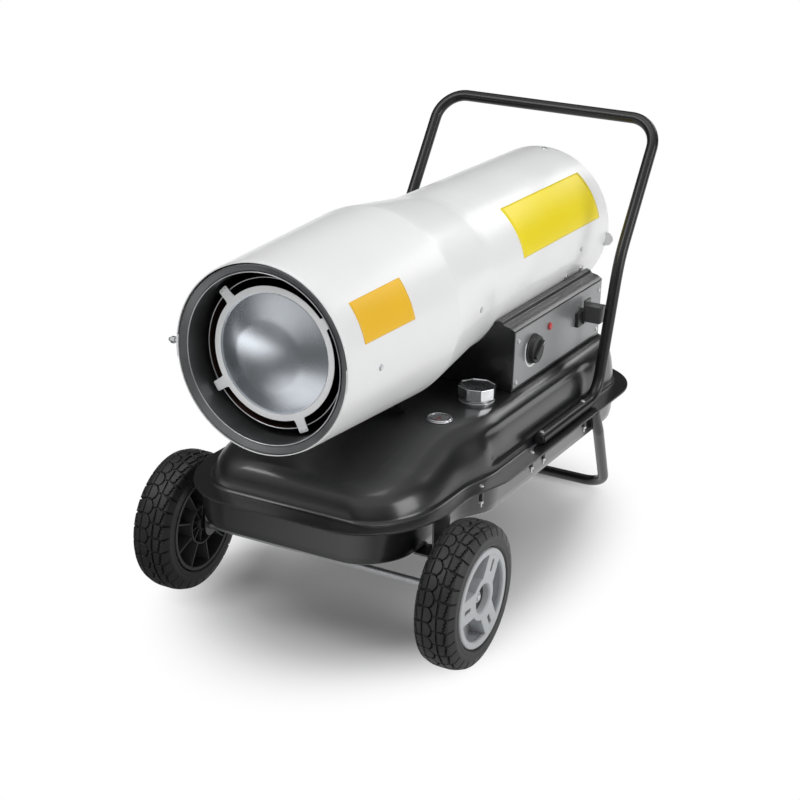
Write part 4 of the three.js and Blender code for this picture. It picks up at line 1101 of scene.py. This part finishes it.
def vector_math(tree, operation, first, second=(0, 0, 0)):
    node = add(tree, "ShaderNodeVectorMath", {0: first, 1: second}, operation=operation)
    return node.outputs["Vector" if operation == "DIVIDE" else "Value"]


def plain_math(tree, operation, first, second):
    return add(tree, "ShaderNodeMath", {0: first, 1: second}, operation=operation).outputs[0]


FLOOR_HALF = 30.0
SHADOW_OVAL = (0.36, 0.62, 1)
# pools of light that only reflections see: centre, radii where the fade starts and ends, strength
POOLS = (((0.12, -1.0, 0), 0.2, 0.7, 1.0), ((-2.8, -2.9, 0), 0.8, 2.8, 2.0))


def floor():
    size = FLOOR_HALF
    mesh = bpy.data.meshes.new("floor")
    corners = [(-size, -size, 0), (size, -size, 0), (size, size, 0), (-size, size, 0)]
    mesh.from_pydata(corners, [], [(0, 1, 2, 3)])
    ground = bpy.data.objects.new("floor", mesh)
    bpy.context.scene.collection.objects.link(ground)
    material = bpy.data.materials.new("floor")
    material.use_nodes = True
    tree = material.node_tree
    shader = tree.nodes["Principled BSDF"]
    feed(tree, shader, {"Base Color": (0.88, 0.88, 0.88, 1), "Roughness": 0.6, "Specular IOR Level": 0.15})
    place = add(tree, "ShaderNodeTexCoord").outputs["Object"]
    # far floor turns white to the camera; near floor keeps the shadow
    far = vector_math(tree, "LENGTH", vector_math(tree, "DIVIDE", place, SHADOW_OVAL))
    share = ramp(tree, far, 0.64, 1.1, 0.0, 1.0)
    # in reflections the floor is bright to the right and behind, and dim in front
    slant = vector_math(tree, "DOT_PRODUCT", place, (0.6, 0.8, 0))
    level = ramp(tree, slant, -0.7, 0.45, 0.14, 1.0)
    for centre, near, wide, strength in POOLS:
        away = vector_math(tree, "DISTANCE", place, centre)
        level = plain_math(tree, "MAXIMUM", level, ramp(tree, away, near, wide, strength, 0.0))
    path = add(tree, "ShaderNodeLightPath").outputs
    white = add(tree, "ShaderNodeEmission").outputs[0]
    mirrored_floor = add(tree, "ShaderNodeEmission", {"Strength": level}).outputs[0]
    toward = plain_math(tree, "MULTIPLY", path["Is Camera Ray"], share)
    first = add(tree, "ShaderNodeMixShader", {0: toward, 1: shader.outputs[0], 2: white}).outputs[0]
    second = add(tree, "ShaderNodeMixShader", {0: path["Is Glossy Ray"], 1: first, 2: mirrored_floor})
    feed(tree, tree.nodes["Material Output"], {"Surface": second.outputs[0]})
    mesh.materials.append(material)


def lamp(name, place, target, size, tall, power):
    light = bpy.data.lights.new(name, "AREA")
    light.energy = power
    light.shape = "RECTANGLE"
    light.size, light.size_y = size, tall
    holder = bpy.data.objects.new(name, light)
    bpy.context.scene.collection.objects.link(holder)
    holder.location = place
    holder.rotation_mode = "QUATERNION"
    holder.rotation_quaternion = (Vector(target) - Vector(place)).to_track_quat("-Z", "Y")
    holder.visible_camera = False


def surroundings():
    """White to the camera and through glass; a studio that is dark low at the rear in reflections."""
    world = bpy.data.worlds.new("studio")
    bpy.context.scene.world = world
    world.use_nodes = True
    tree = world.node_tree
    path = add(tree, "ShaderNodeLightPath").outputs
    seen = plain_math(tree, "MAXIMUM", path["Is Camera Ray"], path["Is Transmission Ray"])
    place = add(tree, "ShaderNodeTexCoord").outputs["Generated"]
    plain = ramp(tree, vector_math(tree, "DOT_PRODUCT", place, (0, 0, 1)), 0.0, 0.8, 0.22, 0.68)
    glossy = ramp(tree, vector_math(tree, "DOT_PRODUCT", place, (0, -0.4, 1)), 0.2, 0.95, 0.04, 0.8)
    level = add(tree, "ShaderNodeMix", {0: path["Is Glossy Ray"], 2: plain, 3: glossy}).outputs[0]
    shown = add(tree, "ShaderNodeMix", {0: seen, 2: level, 3: 1.0}).outputs[0]
    feed(tree, tree.nodes["Background"], {"Color": (1, 1, 1, 1), "Strength": shown})
    lamp("front_left", (-1.1, -1.7, 2.7), (0, -0.3, 0.35), 1.2, 1.2, 22)
    lamp("overhead", (0.1, 0.1, 2.9), (0, 0, 0.4), 1.5, 1.5, 11)
    lamp("right", (2.8, 0.2, 1.25), (0, 0, 0.4), 1.4, 1.4, 27)
    lamp("rear", (0.9, 2.6, 2.0), (0, 0, 0.4), 1.6, 0.8, 12)


def camera():
    """The photograph's viewpoint, fitted to the wheels, the outlet and the handle."""
    azimuth, elevation, roll = 0.4837944496, 0.3576828389, 0.0359017787
    place = Vector((1387.0496541, -2368.3466277 - MID_Y, 1435.4555678)) * MM
    right = Vector((math.cos(azimuth), math.sin(azimuth), 0))
    back = Vector((math.sin(azimuth) * math.cos(elevation), -math.cos(azimuth) * math.cos(elevation),
                   math.sin(elevation)))
    up = back.cross(right)
    right, up = (right * math.cos(roll) + up * math.sin(roll), up * math.cos(roll) - right * math.sin(roll))
    data = bpy.data.cameras.new("camera")
    data.sensor_width = 36.0
    data.lens = 36.0 * 1781.1492514 / 800
    data.clip_end = 200
    view = bpy.data.objects.new("camera", data)
    bpy.context.scene.collection.objects.link(view)
    view.matrix_world = Matrix.Translation(place) @ Matrix((right, up, back)).transposed().to_4x4()
    bpy.context.scene.camera = view


floor()
surroundings()
camera()
bpy.context.scene.view_settings.view_transform = "Standard"
